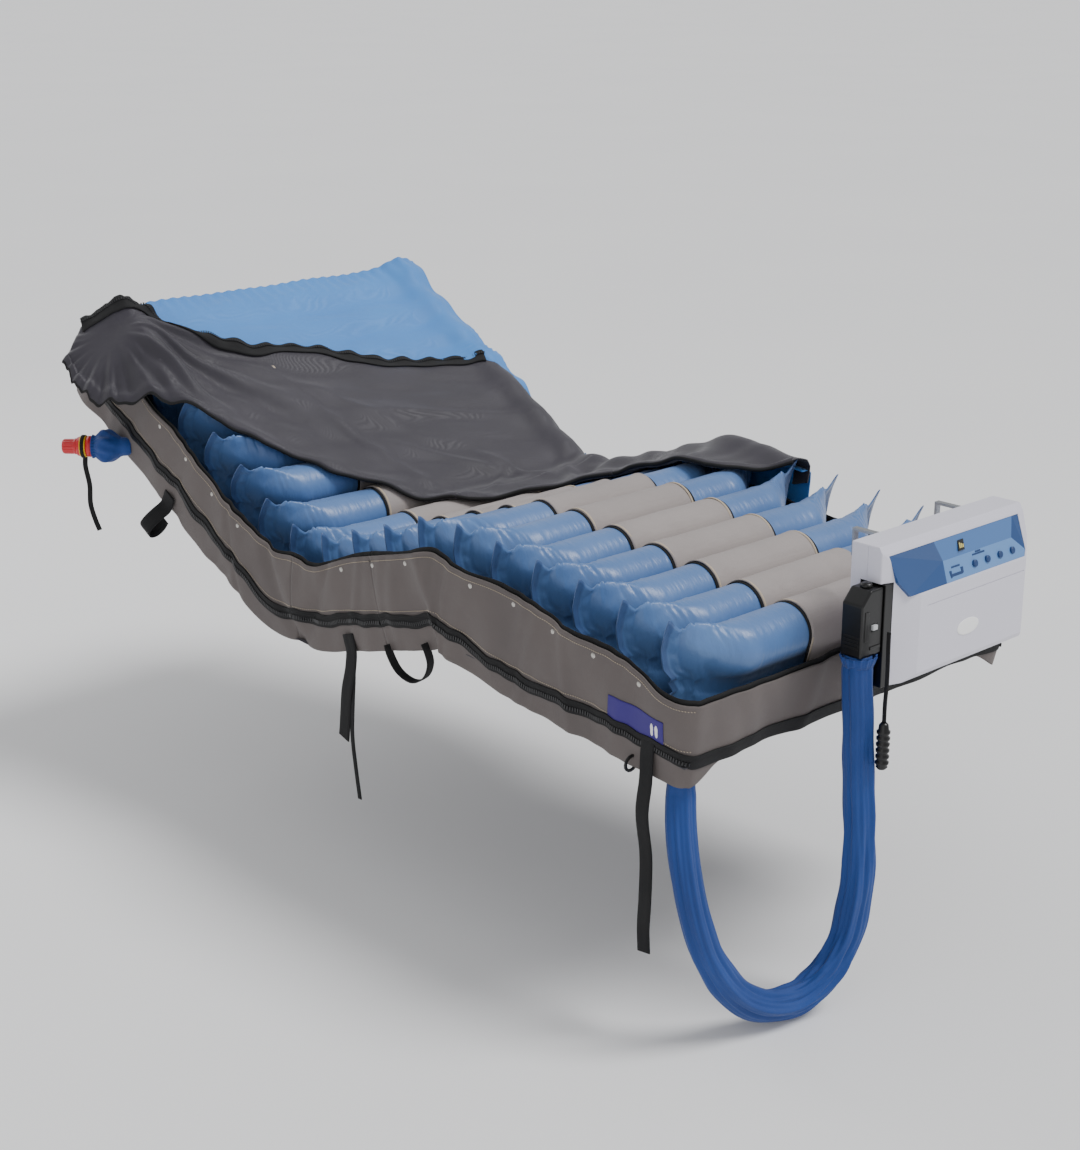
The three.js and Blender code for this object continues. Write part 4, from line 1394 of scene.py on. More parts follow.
# ---- Lower cover -----------------------------------------------------------------------------
@dataclass
class LowerCover:
    """The zipped lower cover: walls around the cells, floor, black lining, zip, studs and label."""

    half_width: float = 0.4552
    corner: float = 0.030
    thickness: float = 0.0024
    rows: int = 34
    top_near: Callable = piecewise(((18.6, -0.030), (17.2, -0.028), (16.1, -0.036), (14.9, -0.030),
                                    (13.8, -0.046),
                                    (12.7, -0.040), (11.8, -0.030), (11.0, -0.018), (10.2, -0.030),
                                    (9.2, -0.020),
                                    (8.0, -0.026), (7.0, -0.030), (6.0, -0.040), (5.0, -0.034), (4.0, -0.040),
                                    (3.2, -0.056), (2.2, -0.052), (1.5, -0.064), (1.0, -0.084),
                                    (0.3, -0.086)))
    top_far: float = -0.078
    bottom: Callable = piecewise(((18.6, -0.205), (10.4, -0.206), (8.5, -0.214), (6.7, -0.224), (5.0, -0.240),
                                  (0.3, -0.245)))
    zip_line: Callable = piecewise(((18.6, -0.135), (12.6, -0.135), (11.3, -0.152), (10.3, -0.138),
                                    (8.5, -0.152),
                                    (6.0, -0.172), (4.7, -0.196), (2.6, -0.186), (1.4, -0.182),
                                    (0.3, -0.193)))

    def outward(self, cell: Any, above: Any, side: float) -> np.ndarray:
        """How far the wall stands out from its straight plane, from the cells' push and soft folds."""
        k, n = np.broadcast_arrays(np.asarray(cell, float), np.asarray(above, float))
        s = 0.7 if side < 0 else 2.9
        soft = 0.0042 * np.sin(1.9 * k + 14 * n + s) * np.sin(0.7 * k + 1 + s)
        soft += 0.0020 * np.sin(4.3 * k - 24 * n + 2 * s) + 0.0010 * np.sin(11 * k + 31 * n + 2
                                                                            * np.sin(3 * k))
        cells = 0.0014 * np.cos(2 * math.pi * k) * rise(-n, 0.02, 0.06)
        bulge = 0.006 * np.sin(math.pi * np.clip((-n - 0.02) / 0.19, 0, 1))
        folds = sum(deep * np.exp(-((k - at - lean * (n + 0.1)) / wide) ** 2)
                    for at, deep, wide, lean in ((11.35, -0.010, 0.16, 5.0), (10.3, -0.008, 0.14, -5.0),
                                                 (6.9, 0.006, 0.22, 3.0), (12.6, -0.004, 0.10, 6.0),
                                                 (9.2, 0.004, 0.12, -4.0), (3.2, 0.004, 0.12, 2.0)))
        return soft + cells + bulge + folds

    def plan(self, low: float, high: float) -> list[tuple[float, float, float, float]]:
        """The wall's line seen from above: cell count, across, and the outward direction."""
        step = 0.05
        start, end = max(low, 0.42 + self.corner / CELL_PITCH), min(high, 18.58 - self.corner / CELL_PITCH)
        straight = np.arange(end, start - 1e-6, -(end - start) / round((end - start) / step))
        near = [(k, -self.half_width, 0.0, -1.0) for k in straight]
        far = [(k, self.half_width, 0.0, 1.0) for k in straight]
        turns = np.radians(np.linspace(0, 90, 9))[1:-1]
        edge = self.half_width - self.corner
        across = np.linspace(-edge, edge, 121)
        r = self.corner

        def end_wall(k: float, way: float) -> list[tuple[float, float, float, float]]:
            """Corner, end wall and corner at one end; way is -1 at the foot and 1 at the head."""
            made = [(k - way * (r - r * math.sin(a)) / CELL_PITCH, -edge - r * math.cos(a),
                     way * math.sin(a), -math.cos(a)) for a in turns]
            made += [(k, y, way, 0.0) for y in across]
            made += [(p[0], -p[1], p[2], -p[3]) for p in made[len(turns) - 1::-1]]
            return made

        if low <= 0.5:
            return near + end_wall(0.42, -1.0) + far[::-1]
        if high >= 18.5:
            return near[::-1] + end_wall(18.58, 1.0) + far
        return near

    def top(self, cell: Any, across: Any) -> np.ndarray:
        """Height of the wall's upper edge."""
        share = rise(across, -0.40, 0.40)
        return self.top_near(cell) * (1 - share) + self.top_far * share

    def surface(self, plan: Sequence[tuple], level: Callable, inset: float = 0.0) -> np.ndarray:
        """Points on the wall.

        Args:
            plan: the wall's line seen from above.
            level: gives the heights of one column from cell count and across.
            inset: distance inwards from the wall.

        Returns:
            The points by column and row.
        """
        columns = []
        for k, y, dk, dy in plan:
            heights = level(k, y)
            out = self.outward(k if abs(dy) > 0.5 else 4 + 6 * y, heights, y) - inset
            fade = 1 - 0.75 * rise(heights, -0.012, 0.004)
            out = out * fade if inset == 0 else out
            columns.append(SPINE.at(k + dk * out / CELL_PITCH, y + dy * out, heights))
        return np.array(columns)

    def strip(self, name: str, plan: Sequence[tuple], level: Callable, finish: str, thickness: float,
              inset: float = 0.0) -> bpy.types.Object:
        """Makes a closed strip of cloth that follows the wall."""
        points = self.surface(plan, level, inset)
        faces = grid_faces(points.shape[0], points.shape[1])
        return thicken(add_mesh(name, points.reshape(-1, 3), faces, finish), thickness)

    def levels(self, rows: int) -> Callable:
        """Heights from the wall's upper edge to its lower edge."""
        def column(k: float, y: float) -> np.ndarray:
            """One column of heights."""
            low = -0.2045 + (float(self.bottom(k)) + 0.2045) * float(rise(abs(y), 0.36, 0.45))
            return np.linspace(self.top(k, y), low, rows)
        return column

    def band(self, middle: Callable, width: float, wave: float = 0.0) -> Callable:
        """Heights across a narrow band."""
        def column(k: float, y: float) -> np.ndarray:
            """One column of heights."""
            at = middle(k) + wave * math.sin(5.1 * k + 6 * y) + 0.5 * wave * math.sin(12.3 * k)
            return np.linspace(at + width / 2, at - width / 2, 7)
        return column

    def sides(self, crossing: Crossing) -> list[list[tuple]]:
        """The wall lines of a stretch: one around an end, or one on each side."""
        plan = self.plan(crossing.low, crossing.high)
        if crossing.name == "seat":
            return [plan, [(k, -y, dk, -dy) for k, y, dk, dy in plan]]
        return [plan]

    def floor(self, crossing: Crossing) -> bpy.types.Object:
        """Makes the floor of a stretch."""
        cells = np.linspace(max(crossing.low, 0.46), min(crossing.high, 18.54), 150)
        across = np.linspace(-self.half_width + 0.003, self.half_width - 0.003, 40)
        k, y = np.meshgrid(cells, across, indexing="ij")
        height = -0.2028 + 0.0006 * np.sin(9 * k) * np.sin(30 * y)
        piece = add_mesh(f"cover_floor_{crossing.name}", SPINE.at(k, y, height).reshape(-1, 3),
                         grid_faces(*k.shape), "floor")
        return thicken(piece, 0.002)

    def zip_tape(self, crossing: Crossing) -> None:
        """Makes the zip of a stretch: its tape on both sides and the teeth."""
        tapes, lines = [], []
        for side, plan in enumerate(self.sides(crossing)):
            tapes.append(self.strip("tape", plan, self.band(self.zip_line, 0.025, 0.0022), "zip", 0.0018,
                                    -0.0022))
            lip = lambda k: self.zip_line(k) + 0.0105
            tapes.append(self.strip("lip", plan, self.band(lip, 0.0075, 0.0022), "webbing", 0.0026, -0.0034))
            level = lambda k, y: np.array([self.zip_line(k) - 0.003 + 0.0022 * math.sin(5.1 * k + 6 * y)
                                           + 0.0011 * math.sin(12.3 * k)])
            line = self.surface(plan, level, -0.0040)[:, 0]
            rows = [line[line[:, 1] < -0.44], line[line[:, 1] > 0.44]]
            lines += [row for row in rows if len(row) > 2]
        settle(joined(f"cover_zip_{crossing.name}", tapes), crossing=crossing)
        teeth = []
        for i, line in enumerate(lines):
            side = -1.0 if line[0][1] < 0 else 1.0
            teeth.append(Rows.get(StampKind.TOOTH).lay(f"teeth_{i}", [line], (0, side, 0)))
        settle(joined(f"cover_zip_teeth_{crossing.name}", teeth), crossing=crossing)

    def stitches(self, crossing: Crossing) -> None:
        """Sews two rows of stitches along the upper edge and above the zip."""
        rows = []
        for plan in self.sides(crossing):
            for level in (lambda k, y: np.array([self.top(k, y) - 0.010]),
                          lambda k, y: np.array([float(self.zip_line(k)) + 0.020])):
                line = self.surface(plan, level, -0.0018)[:, 0]
                for side in (-1.0, 1.0):
                    row = line[line[:, 1] * side > 0.44]
                    if len(row) > 2:
                        rows.append(Rows.get(StampKind.STITCH).lay("stitches", [row], (0, side, 0)))
        settle(joined(f"cover_stitches_{crossing.name}", rows), crossing=crossing)

    def studs(self, body: str, first: float, last: float, name: str) -> None:
        """Sets one press stud for each cell just under the near wall's upper edge."""
        places = np.arange(first, last + 0.1, 1.0)
        points = [SPINE.at(k, -self.half_width - self.outward(k, self.top_near(k) - 0.019, -1.0) - 0.001,
                           self.top_near(k) - 0.019) for k in places]
        piece = Rows.get(StampKind.STUD, along=False).lay(f"press_studs_{name}", [np.array(points)],
                                                          (0, -1, 0))
        settle(piece, body)

    def label(self) -> None:
        """Sews the violet label with two plain soles on the near wall at the foot."""
        cells = np.linspace(0.86, 2.08, 40)
        heights = np.linspace(-0.128, -0.176, 16)
        k, n = np.meshgrid(cells, heights, indexing="ij")
        y = -self.half_width - self.outward(k, n, -1.0) - 0.0020
        plate = thicken(add_mesh("cover_label", SPINE.at(k, y, n).reshape(-1, 3), grid_faces(*k.shape),
                                 "label"),
                        0.0012)
        settle(plate, "foot_section")
        soles = []
        for at in (1.10, 1.00):
            turn = np.linspace(0, 2 * math.pi, 25)[:-1]
            waist = 1 - 0.24 * np.exp(-((np.sin(turn) + 0.15) / 0.35) ** 2)
            rings = []
            for grow, lift in ((0.0, 0.0034), (0.75, 0.0034), (1.0, 0.0027), (1.0, 0.0020)):
                kk = at + grow * 0.0042 * np.cos(turn) * waist / CELL_PITCH
                nn = -0.152 + grow * 0.0125 * np.sin(turn)
                yy = -self.half_width - self.outward(kk, nn, -1.0) - lift
                rings.append(SPINE.at(kk, yy, nn))
            faces = grid_faces(4, 24, closed=True) + [tuple(3 * 24 + i for i in range(24))]
            soles.append(tidy_normals(add_mesh("sole", np.concatenate(rings), faces, "print_white"), 1e-6))
        settle(joined("cover_label_soles", soles), "foot_section")

    def build(self) -> None:
        """Builds and dresses the cover."""
        nodes = {"back": ["cover_back"], "seat": ["cover_seat"], "foot": ["cover_thigh", "cover_foot"]}
        for crossing in CROSSINGS:
            walls = [self.strip("wall", plan, self.levels(self.rows), "cover", self.thickness)
                     for plan in self.sides(crossing)]
            wall = joined(f"cover_wall_{crossing.name}", walls)
            settle(wall, crossing=crossing, replaces=nodes[crossing.name])
            inner = lambda k, y: self.top(k, y) + np.linspace(0.0065 + 0.002 * math.sin(3.1 * k), -0.09,
                                                              14) - 0.006 * (y > 0.4)
            lining = [self.strip("lining", plan, inner, "lining", 0.0016, 0.0050)
                      for plan in self.sides(crossing)]
            settle(joined(f"cover_lining_{crossing.name}", lining), crossing=crossing)
            settle(self.floor(crossing), crossing=crossing)
            self.zip_tape(crossing)
            self.stitches(crossing)
        self.studs("foot_section", 1.5, 5.5, "foot")
        self.studs("thigh_section", 7.5, 9.5, "thigh")
        self.studs("back_section", 12.5, 17.5, "back")
        self.label()


# ---- Top cover -------------------------------------------------------------------------------
@dataclass
class TopCover:
    """The unzipped top cover: its near side folded over to the far side, with the head still on."""

    cover: LowerCover
    thickness: float = 0.0022
    fold_line: tuple[tuple[float, float], ...] = (
        (17.9, -0.545), (17.1, -0.548), (16.4, -0.520), (15.8, -0.465), (14.9, -0.390), (13.8, -0.300),
        (12.7, -0.195), (11.9, -0.100),
        (10.9, -0.005), (10.4, 0.065), (9.2, 0.190), (7.9, 0.255), (6.4, 0.270), (5.7, 0.340), (5.25, 0.400))
    far_line: tuple[tuple[float, float], ...] = (
        (18.2, -0.500), (17.8, -0.420), (17.15, -0.290), (16.55, -0.170), (16.3, -0.040), (15.85, 0.060),
        (15.45, 0.180), (15.2, 0.290), (14.9, 0.400), (13.8, 0.448), (12.2, 0.456), (10.6, 0.456),
        (9.0, 0.456),
        (7.3, 0.456), (6.0, 0.452), (5.15, 0.430))
    corner: tuple[float, float] = (17.55, -0.475)

    @staticmethod
    def along(line: Sequence[tuple[float, float]], share: np.ndarray) -> np.ndarray:
        """Points of a line at shares of its length."""
        path = curve_through([(k * CELL_PITCH, y, 0.0) for k, y in line], 16)
        run = np.concatenate([[0], np.cumsum(np.linalg.norm(np.diff(path, axis=0), axis=1))])
        run /= run[-1]
        return np.stack([np.interp(share, run, path[:, 0]) / CELL_PITCH, np.interp(share, run, path[:, 1])],
                        axis=-1)

    def height(self, cell: np.ndarray, across: np.ndarray) -> np.ndarray:
        """Height of the laid-back cloth above the cells' corner line."""
        k, y = cell, across
        over = 0.0145 + 0.0026 * np.cos(2 * math.pi * k)
        dk, dy = (self.corner[0] - k) * CELL_PITCH, y - self.corner[1]
        radius = np.hypot(dk, dy)
        angle = np.arctan2(dy, dk)
        reach = np.exp(-(radius / 0.55) ** 2) * rise(radius, 0.03, 0.16)
        fan = 0.010 * reach * np.sin(15 * angle + 1.2 * np.sin(5 * radius) + 0.4)
        fan += 0.0055 * reach * np.sin(29 * angle + 9 * radius)
        bunch = 0.058 * np.exp(-(radius / 0.15) ** 2) + 0.012 * np.exp(-((radius - 0.14) / 0.07) ** 2)
        broad = 0.0050 * np.sin(5.5 * y + 1.15 * k + 0.6) * np.sin(0.75 * k - 3 * y)
        pulls = sum(deep * np.exp(-(((y - y0) * math.cos(t) + (k - k0) * CELL_PITCH * math.sin(t))
                                    / wide) ** 2)
                    * np.exp(-(((k - k0) * CELL_PITCH * math.cos(t) - (y - y0) * math.sin(t)) / long) ** 2)
                    for k0, y0, t, deep, wide, long in (
                        (12.3, 0.10, 0.9, 0.008, 0.016, 0.16), (11.6, 0.22, 0.5, 0.010, 0.020, 0.10),
                        (10.6, 0.30, -0.6, 0.009, 0.018, 0.13), (10.0, 0.38, 0.2, 0.010, 0.022, 0.08),
                        (13.6, 0.20, 1.3, 0.006, 0.014, 0.20), (14.6, -0.06, 0.7, 0.007, 0.020, 0.22),
                        (12.9, -0.06, 0.35, 0.006, 0.014, 0.22), (11.2, 0.14, -0.9, 0.006, 0.012, 0.09),
                        (9.4, 0.34, 0.1, 0.006, 0.014, 0.14), (8.2, 0.36, -0.4, 0.006, 0.014, 0.14)))
        fine = 0.0010 * np.sin(33 * y + 6 * k + 2 * np.sin(3 * k)) * np.sin(4 * k + 11 * y)
        drape = -1.15 * np.clip(-y - 0.455, 0, None)
        ears = 0.0215 * np.exp(-((np.abs(y) - 0.412) / 0.040) ** 2)
        drape = drape + ears - 0.012 * rise(np.abs(y), 0.43, 0.456)
        return over + fan + bunch + broad + pulls + fine + drape

    def flap_grid(self, low: float, high: float) -> tuple[np.ndarray, ...]:
        """The folded cloth's columns within a stretch.

        Args:
            low: cell count at its foot side.
            high: cell count at its head side.

        Returns:
            Cell count, across and height of each point.
        """
        share = np.linspace(0, 1, 420)
        fold, far = self.along(self.fold_line, share), self.along(self.far_line, share)
        across = np.concatenate([np.linspace(0, 0.12, 12, endpoint=False), np.linspace(0.12, 1, 76)])
        k = fold[:, None, 0] * (1 - across) + far[:, None, 0] * across
        y = fold[:, None, 1] * (1 - across) + far[:, None, 1] * across
        n = self.height(k, y)
        lift = 0.008 * np.exp(-(across / 0.05) ** 2)
        n = n + lift
        normal = np.gradient(fold, axis=0)
        normal = np.stack([-normal[:, 1] / CELL_PITCH, normal[:, 0] * CELL_PITCH], axis=1)
        size = np.hypot(normal[:, 0] * CELL_PITCH, normal[:, 1])
        normal /= size[:, None]
        inward = far - fold
        sign = np.sign(inward[:, 0] * CELL_PITCH * normal[:, 0] * CELL_PITCH + inward[:, 1] * normal[:, 1])
        normal *= sign[:, None]
        roll = []
        radius = 0.0062
        wander = 0.0025 * np.sin(np.linspace(0, 60, 420)) + 0.0015 * np.sin(np.linspace(0, 143, 420))
        for reach, drop in [(0.075, -2.05), (0.055, -2.0), (0.035, -2.0), (0.018, -2.0), (0.006, -1.97)]:
            roll.append((reach, drop * radius))
        for angle in np.radians(np.linspace(250, 110, 9)):
            roll.append((radius * math.cos(angle) * 1.3, radius * (math.sin(angle) - 1)))
        ks, ys, ns = [], [], []
        for reach, drop in roll:
            step = reach + (wander if reach < 0.02 else 0)
            ks.append(fold[:, 0] + normal[:, 0] * step)
            ys.append(fold[:, 1] + normal[:, 1] * step)
            base = self.height(ks[-1], ys[-1]) + 0.008
            ns.append(base + drop)
        hang = rise(-far[:, 0], -15.4, -14.6)
        kk, yy, nn = [], [], []
        for reach, drop in ((0.005, -0.002), (0.010, -0.008), (0.0135, -0.018), (0.0150, -0.030),
                            (0.0155, -0.044),
                            (0.0150, -0.058 - 0.004 * np.sin(far[:, 0] * 2.3))):
            out = self.cover.outward(far[:, 0], n[:, -1] + drop, 1.0)
            kk.append(far[:, 0])
            yy.append(far[:, 1] + hang * (reach + out * (-np.asarray(drop) > 0.015)))
            nn.append(n[:, -1] + hang * drop - (1 - hang) * 0.0004 * len(nn))
        k = np.concatenate([np.array(ks).T, k[:, 1:], np.array(kk).T], axis=1)
        y = np.concatenate([np.array(ys).T, y[:, 1:], np.array(yy).T], axis=1)
        n = np.concatenate([np.array(ns).T, n[:, 1:], np.array(nn).T], axis=1)
        return k, y, n

    def cut(self, piece: bpy.types.Object, low: float, high: float) -> bpy.types.Object:
        """Keeps the part of a sheet between two counts of cells."""
        work = bmesh.new()
        work.from_mesh(piece.data)
        for cell, keep_foot in ((low, False), (high, True)):
            if not 0.5 < cell < 18.5:
                continue
            point = SPINE.at(cell, 0.0, 0.0)
            above = SPINE.at(cell, 0.0, 0.1)
            up = Vector(tuple(above - point)).normalized()
            normal = up.cross(Vector((0, 1, 0)))
            if normal.x < 0:
                normal.negate()
            bmesh.ops.bisect_plane(work, geom=work.verts[:] + work.edges[:] + work.faces[:],
                                   plane_co=tuple(point),
                                   plane_no=normal, clear_outer=keep_foot is False, clear_inner=keep_foot)
        work.to_mesh(piece.data)
        work.free()
        return piece

    def sheet_piece(self, name: str, points: np.ndarray, finish: str, crossing: Crossing,
                    replaces: Sequence[str] = ()) -> bpy.types.Object:
        piece = add_mesh(name, points.reshape(-1, 3), grid_faces(*points.shape[:2]), finish)
        self.cut(piece, crossing.low, crossing.high)
        thicken(piece, self.thickness)
        settle(piece, crossing=crossing, replaces=replaces)
        return piece

    def zip_tape(self) -> None:
        """Makes the wavy zip at the edge of the folded cloth, on the back section."""
        share = np.linspace(0.0, 0.60, 240)
        line = self.along(self.far_line, share)
        keep = line[:, 0] > 14.86
        line = line[keep]
        run = np.linspace(0, 1, len(line))
        sway = 0.022 * np.sin(run * 58) * rise(run, 0.05, 0.2)
        rings = []
        for offset in np.linspace(-0.016, 0.016, 7):
            k = line[:, 0] + (offset * 1.0) / CELL_PITCH + sway
            y = line[:, 1] + offset * 0.25
            ruffle = 0.0050 * np.sin(run * 88 + 1.5) * rise(offset, -0.012, 0.016)
            n = self.height(k, y) + 0.0042 + ruffle
            rings.append(SPINE.at(k, y, n))
        points = np.array(rings)
        tape = thicken(add_mesh("top_cover_zip", points.reshape(-1, 3), grid_faces(*points.shape[:2]),
                                "zip"), 0.0026)
        settle(tape, "back_section")
        middle = points[4] + np.array([0, 0, 0.0026])
        up = SPINE.at(16.0, 0.0, 1.0) - SPINE.at(16.0, 0.0, 0.0)
        teeth = Rows.get(StampKind.TOOTH).lay("top_cover_zip_teeth", [middle], up)
        settle(teeth, "back_section")

    def blue_sheet(self) -> None:
        """Makes the blue outside of the cover at the head, from under the zip to the head end."""
        across = np.linspace(0, 1, 150)
        line = self.along(self.far_line, np.linspace(0.0, 0.53, 400))
        y = -0.455 + across * 0.915
        start = np.interp(y, line[:, 1], line[:, 0]) - 0.35
        start = np.minimum(start, 17.9)
        rows = np.linspace(0, 1, 64)
        head = 18.52 - 0.32 * rise(-y, 0.30, 0.46) - 0.10 * rise(y, 0.30, 0.46)
        k = start[:, None] * (1 - rows) + head[:, None] * rows
        yy = np.repeat(y[:, None], len(rows), axis=1)
        bump = 0.0048 * np.cos(2 * math.pi * k) * (0.5 + 0.5 * rise(yy, -0.3, 0.2))
        soft = 0.0026 * np.sin(7 * yy + 2.4 * k) * np.sin(9 * yy - k) + 0.0012 * np.sin(31 * yy + 3
                                                                                        * np.sin(4 * k))
        corner = 0.018 * np.exp(-(((yy - 0.46) / 0.10) ** 2 + ((k - 18.4) / 0.7) ** 2))
        pucker = 0.0022 * np.sin(2 * math.pi * yy / 0.031) * rise(k, 17.7, 18.5)
        pucker += 0.0030 * np.sin(46 * (k - 15) + 30 * yy) * np.exp(-(((yy - 0.44) / 0.06) ** 2
                                                                      + ((k - 15.3) / 0.6) ** 2))
        n = 0.0105 + bump + soft + corner + pucker + 0.0235 * np.exp(-((np.abs(yy) - 0.412) / 0.040) ** 2)
        n = n - 0.012 * (1 - rise(rows, 0.0, 0.10))[None, :]
        points = SPINE.at(k, yy, n)
        edge = []
        for reach, drop in ((0.004, 0.0015), (0.008, -0.004), (0.010, -0.014), (0.0105, -0.028),
                            (0.010, -0.044),
                            (0.0095, -0.060)):
            wave = 0.0015 * np.sin(2 * math.pi * y / 0.05) * min(1.0, -drop / 0.03)
            edge.append(SPINE.at(k[:, -1] + (reach + wave) / CELL_PITCH, yy[:, -1], n[:, -1] + drop))
        points = np.concatenate([points, np.array(edge).transpose(1, 0, 2)], axis=1)
        side = []
        for reach, drop in ((0.003, 0.000), (0.0052, -0.006), (0.0072, -0.016), (0.0090, -0.026)):
            side.append(points[-1] + np.array([0.0, reach, 0.0])
                        + drop * (SPINE.at(16.0, 0.0, 1.0) - SPINE.at(16.0, 0.0, 0.0)))
        points = np.concatenate([points, np.array(side)], axis=0)
        piece = add_mesh("top_cover_blue_head", points.reshape(-1, 3), grid_faces(*points.shape[:2]), "blue")
        thicken(piece, self.thickness)
        settle(piece, "back_section")

    def skirt(self, crossing: Crossing) -> None:
        """Makes the blue side of the cover that runs up the far wall under the folded cloth."""
        low, high = max(crossing.low, 5.2), min(crossing.high, 18.52)
        cells = np.linspace(low, high, 120)
        profile = ((0.4606, -0.118), (0.4606, -0.095), (0.4606, -0.070), (0.4606, -0.045), (0.4606, -0.020),
                   (0.4590, -0.002), (0.4520, 0.0050), (0.4400, 0.0065), (0.4300, 0.0060))
        rings = []
        for y, n in profile:
            wave = 0.0022 * np.sin(4.1 * cells + 20 * n) + 0.0010 * np.sin(9.3 * cells - 30 * n)
            out = self.cover.outward(cells, n, 1.0) * rise(-n, 0.0, 0.03)
            rings.append(SPINE.at(cells, y + out + wave * (n < 0), np.full_like(cells, n)))
        points = np.array(rings)
        piece = add_mesh(f"top_cover_far_side_{crossing.name}", points.reshape(-1, 3),
                         grid_faces(*points.shape[:2]), "blue")
        thicken(piece, self.thickness)
        settle(piece, crossing=crossing)

    def hem(self, crossing: Crossing, grids: tuple[np.ndarray, ...]) -> None:
        """Makes the dark bound hem along the fold."""
        k, y, n = grids
        column = 9
        path = np.stack([k[:, column], y[:, column], n[:, column]], axis=1)
        keep = (path[:, 0] > crossing.low) & (path[:, 0] < crossing.high)
        path = path[keep]
        turn = np.linspace(0, 2 * math.pi, 11)[:-1]
        rings = [SPINE.at(path[:, 0] + 0.0042 * math.cos(a) / CELL_PITCH * 0.6,
                          path[:, 1] + 0.0042 * math.cos(a) * 0.6,
                          path[:, 2] + 0.0042 * math.sin(a)) for a in turn]
        points = np.array(rings).transpose(1, 0, 2)
        faces = grid_faces(points.shape[0], len(turn), closed=True)
        faces += [tuple(range(len(turn))),
                  tuple((points.shape[0] - 1) * len(turn) + i for i in range(len(turn)))]
        piece = tidy_normals(add_mesh(f"top_cover_hem_{crossing.name}", points.reshape(-1, 3), faces,
                                      "lining"))
        settle(piece, crossing=crossing)

    def build(self) -> None:
        """Builds and dresses the top cover."""
        grids = self.flap_grid(0, 19)
        points = SPINE.at(*grids)
        nodes = {"back": ["top_cover_back"], "seat": ["top_cover_seat"], "foot": ["top_cover_thigh"]}
        for crossing in CROSSINGS:
            self.sheet_piece(f"top_cover_flap_{crossing.name}", points, "charcoal", crossing,
                             nodes[crossing.name])
            self.hem(crossing, grids)
            self.skirt(crossing)
        self.zip_tape()
        self.blue_sheet()


# ---- Pump, hooks and connector ---------------------------------------------------------------
def combine(piece: bpy.types.Object, other: bpy.types.Object, how: str) -> bpy.types.Object:
    """Joins, cuts or overlaps two closed pieces and removes the second."""
    change = piece.modifiers.new("combine", "BOOLEAN")
    change.operation = how
    change.object = other
    change.solver = "EXACT"
    baked(piece)
    bpy.data.objects.remove(other)
    return piece


def prism(name: str, outline: Sequence[tuple[float, float]], low: float, high: float, axes: str,
          finish: str) -> bpy.types.Object:
    """A straight prism.

    Args:
        name: the piece's name.
        outline: points of the flat outline.
        low: start along the third axis.
        high: end along the third axis.
        axes: the outline's two axes and the third one, such as "xzy".
        finish: name of its finish.

    Returns:
        The closed prism.
    """
    order = [axes.index(letter) for letter in "xyz"]
    points = []
    for depth in (low, high):
        for a, b in outline:
            values = (a, b, depth)
            points.append(tuple(values[i] for i in order))
    n = len(outline)
    faces = [tuple(range(n)), tuple(range(2 * n - 1, n - 1, -1))]
    faces += [(i, (i + 1) % n, n + (i + 1) % n, n + i) for i in range(n)]
    return tidy_normals(add_mesh(name, points, faces, finish, smooth=False))


def softened(node: str, finish: str, width: float, segments: int = 3) -> bpy.types.Object:
    """A copy of a model node with rounded edges, which stands for it.

    Args:
        node: the model node.
        finish: name of its finish.
        width: width of the rounded edges.
        segments: steps of the rounding.

    Returns:
        The new piece.
    """
    source = bpy.data.objects[node]
    work = bmesh.new()
    work.from_mesh(source.data)
    bmesh.ops.remove_doubles(work, verts=work.verts, dist=1e-5)
    bmesh.ops.dissolve_limit(work, angle_limit=math.radians(1.0), verts=work.verts, edges=work.edges)
    mesh = bpy.data.meshes.new(f"{node}_rounded")
    work.to_mesh(mesh)
    work.free()
    mesh.materials.clear()
    mesh.materials.append(Finishes.get(finish))
    piece = bpy.data.objects.new(f"{node}_rounded", mesh)
    bpy.context.scene.collection.objects.link(piece)
    mesh.polygons.foreach_set("use_smooth", [True] * len(mesh.polygons))
    rounded(piece, width, segments)
    return settle(piece, body_of(source)[0], replaces=[node])


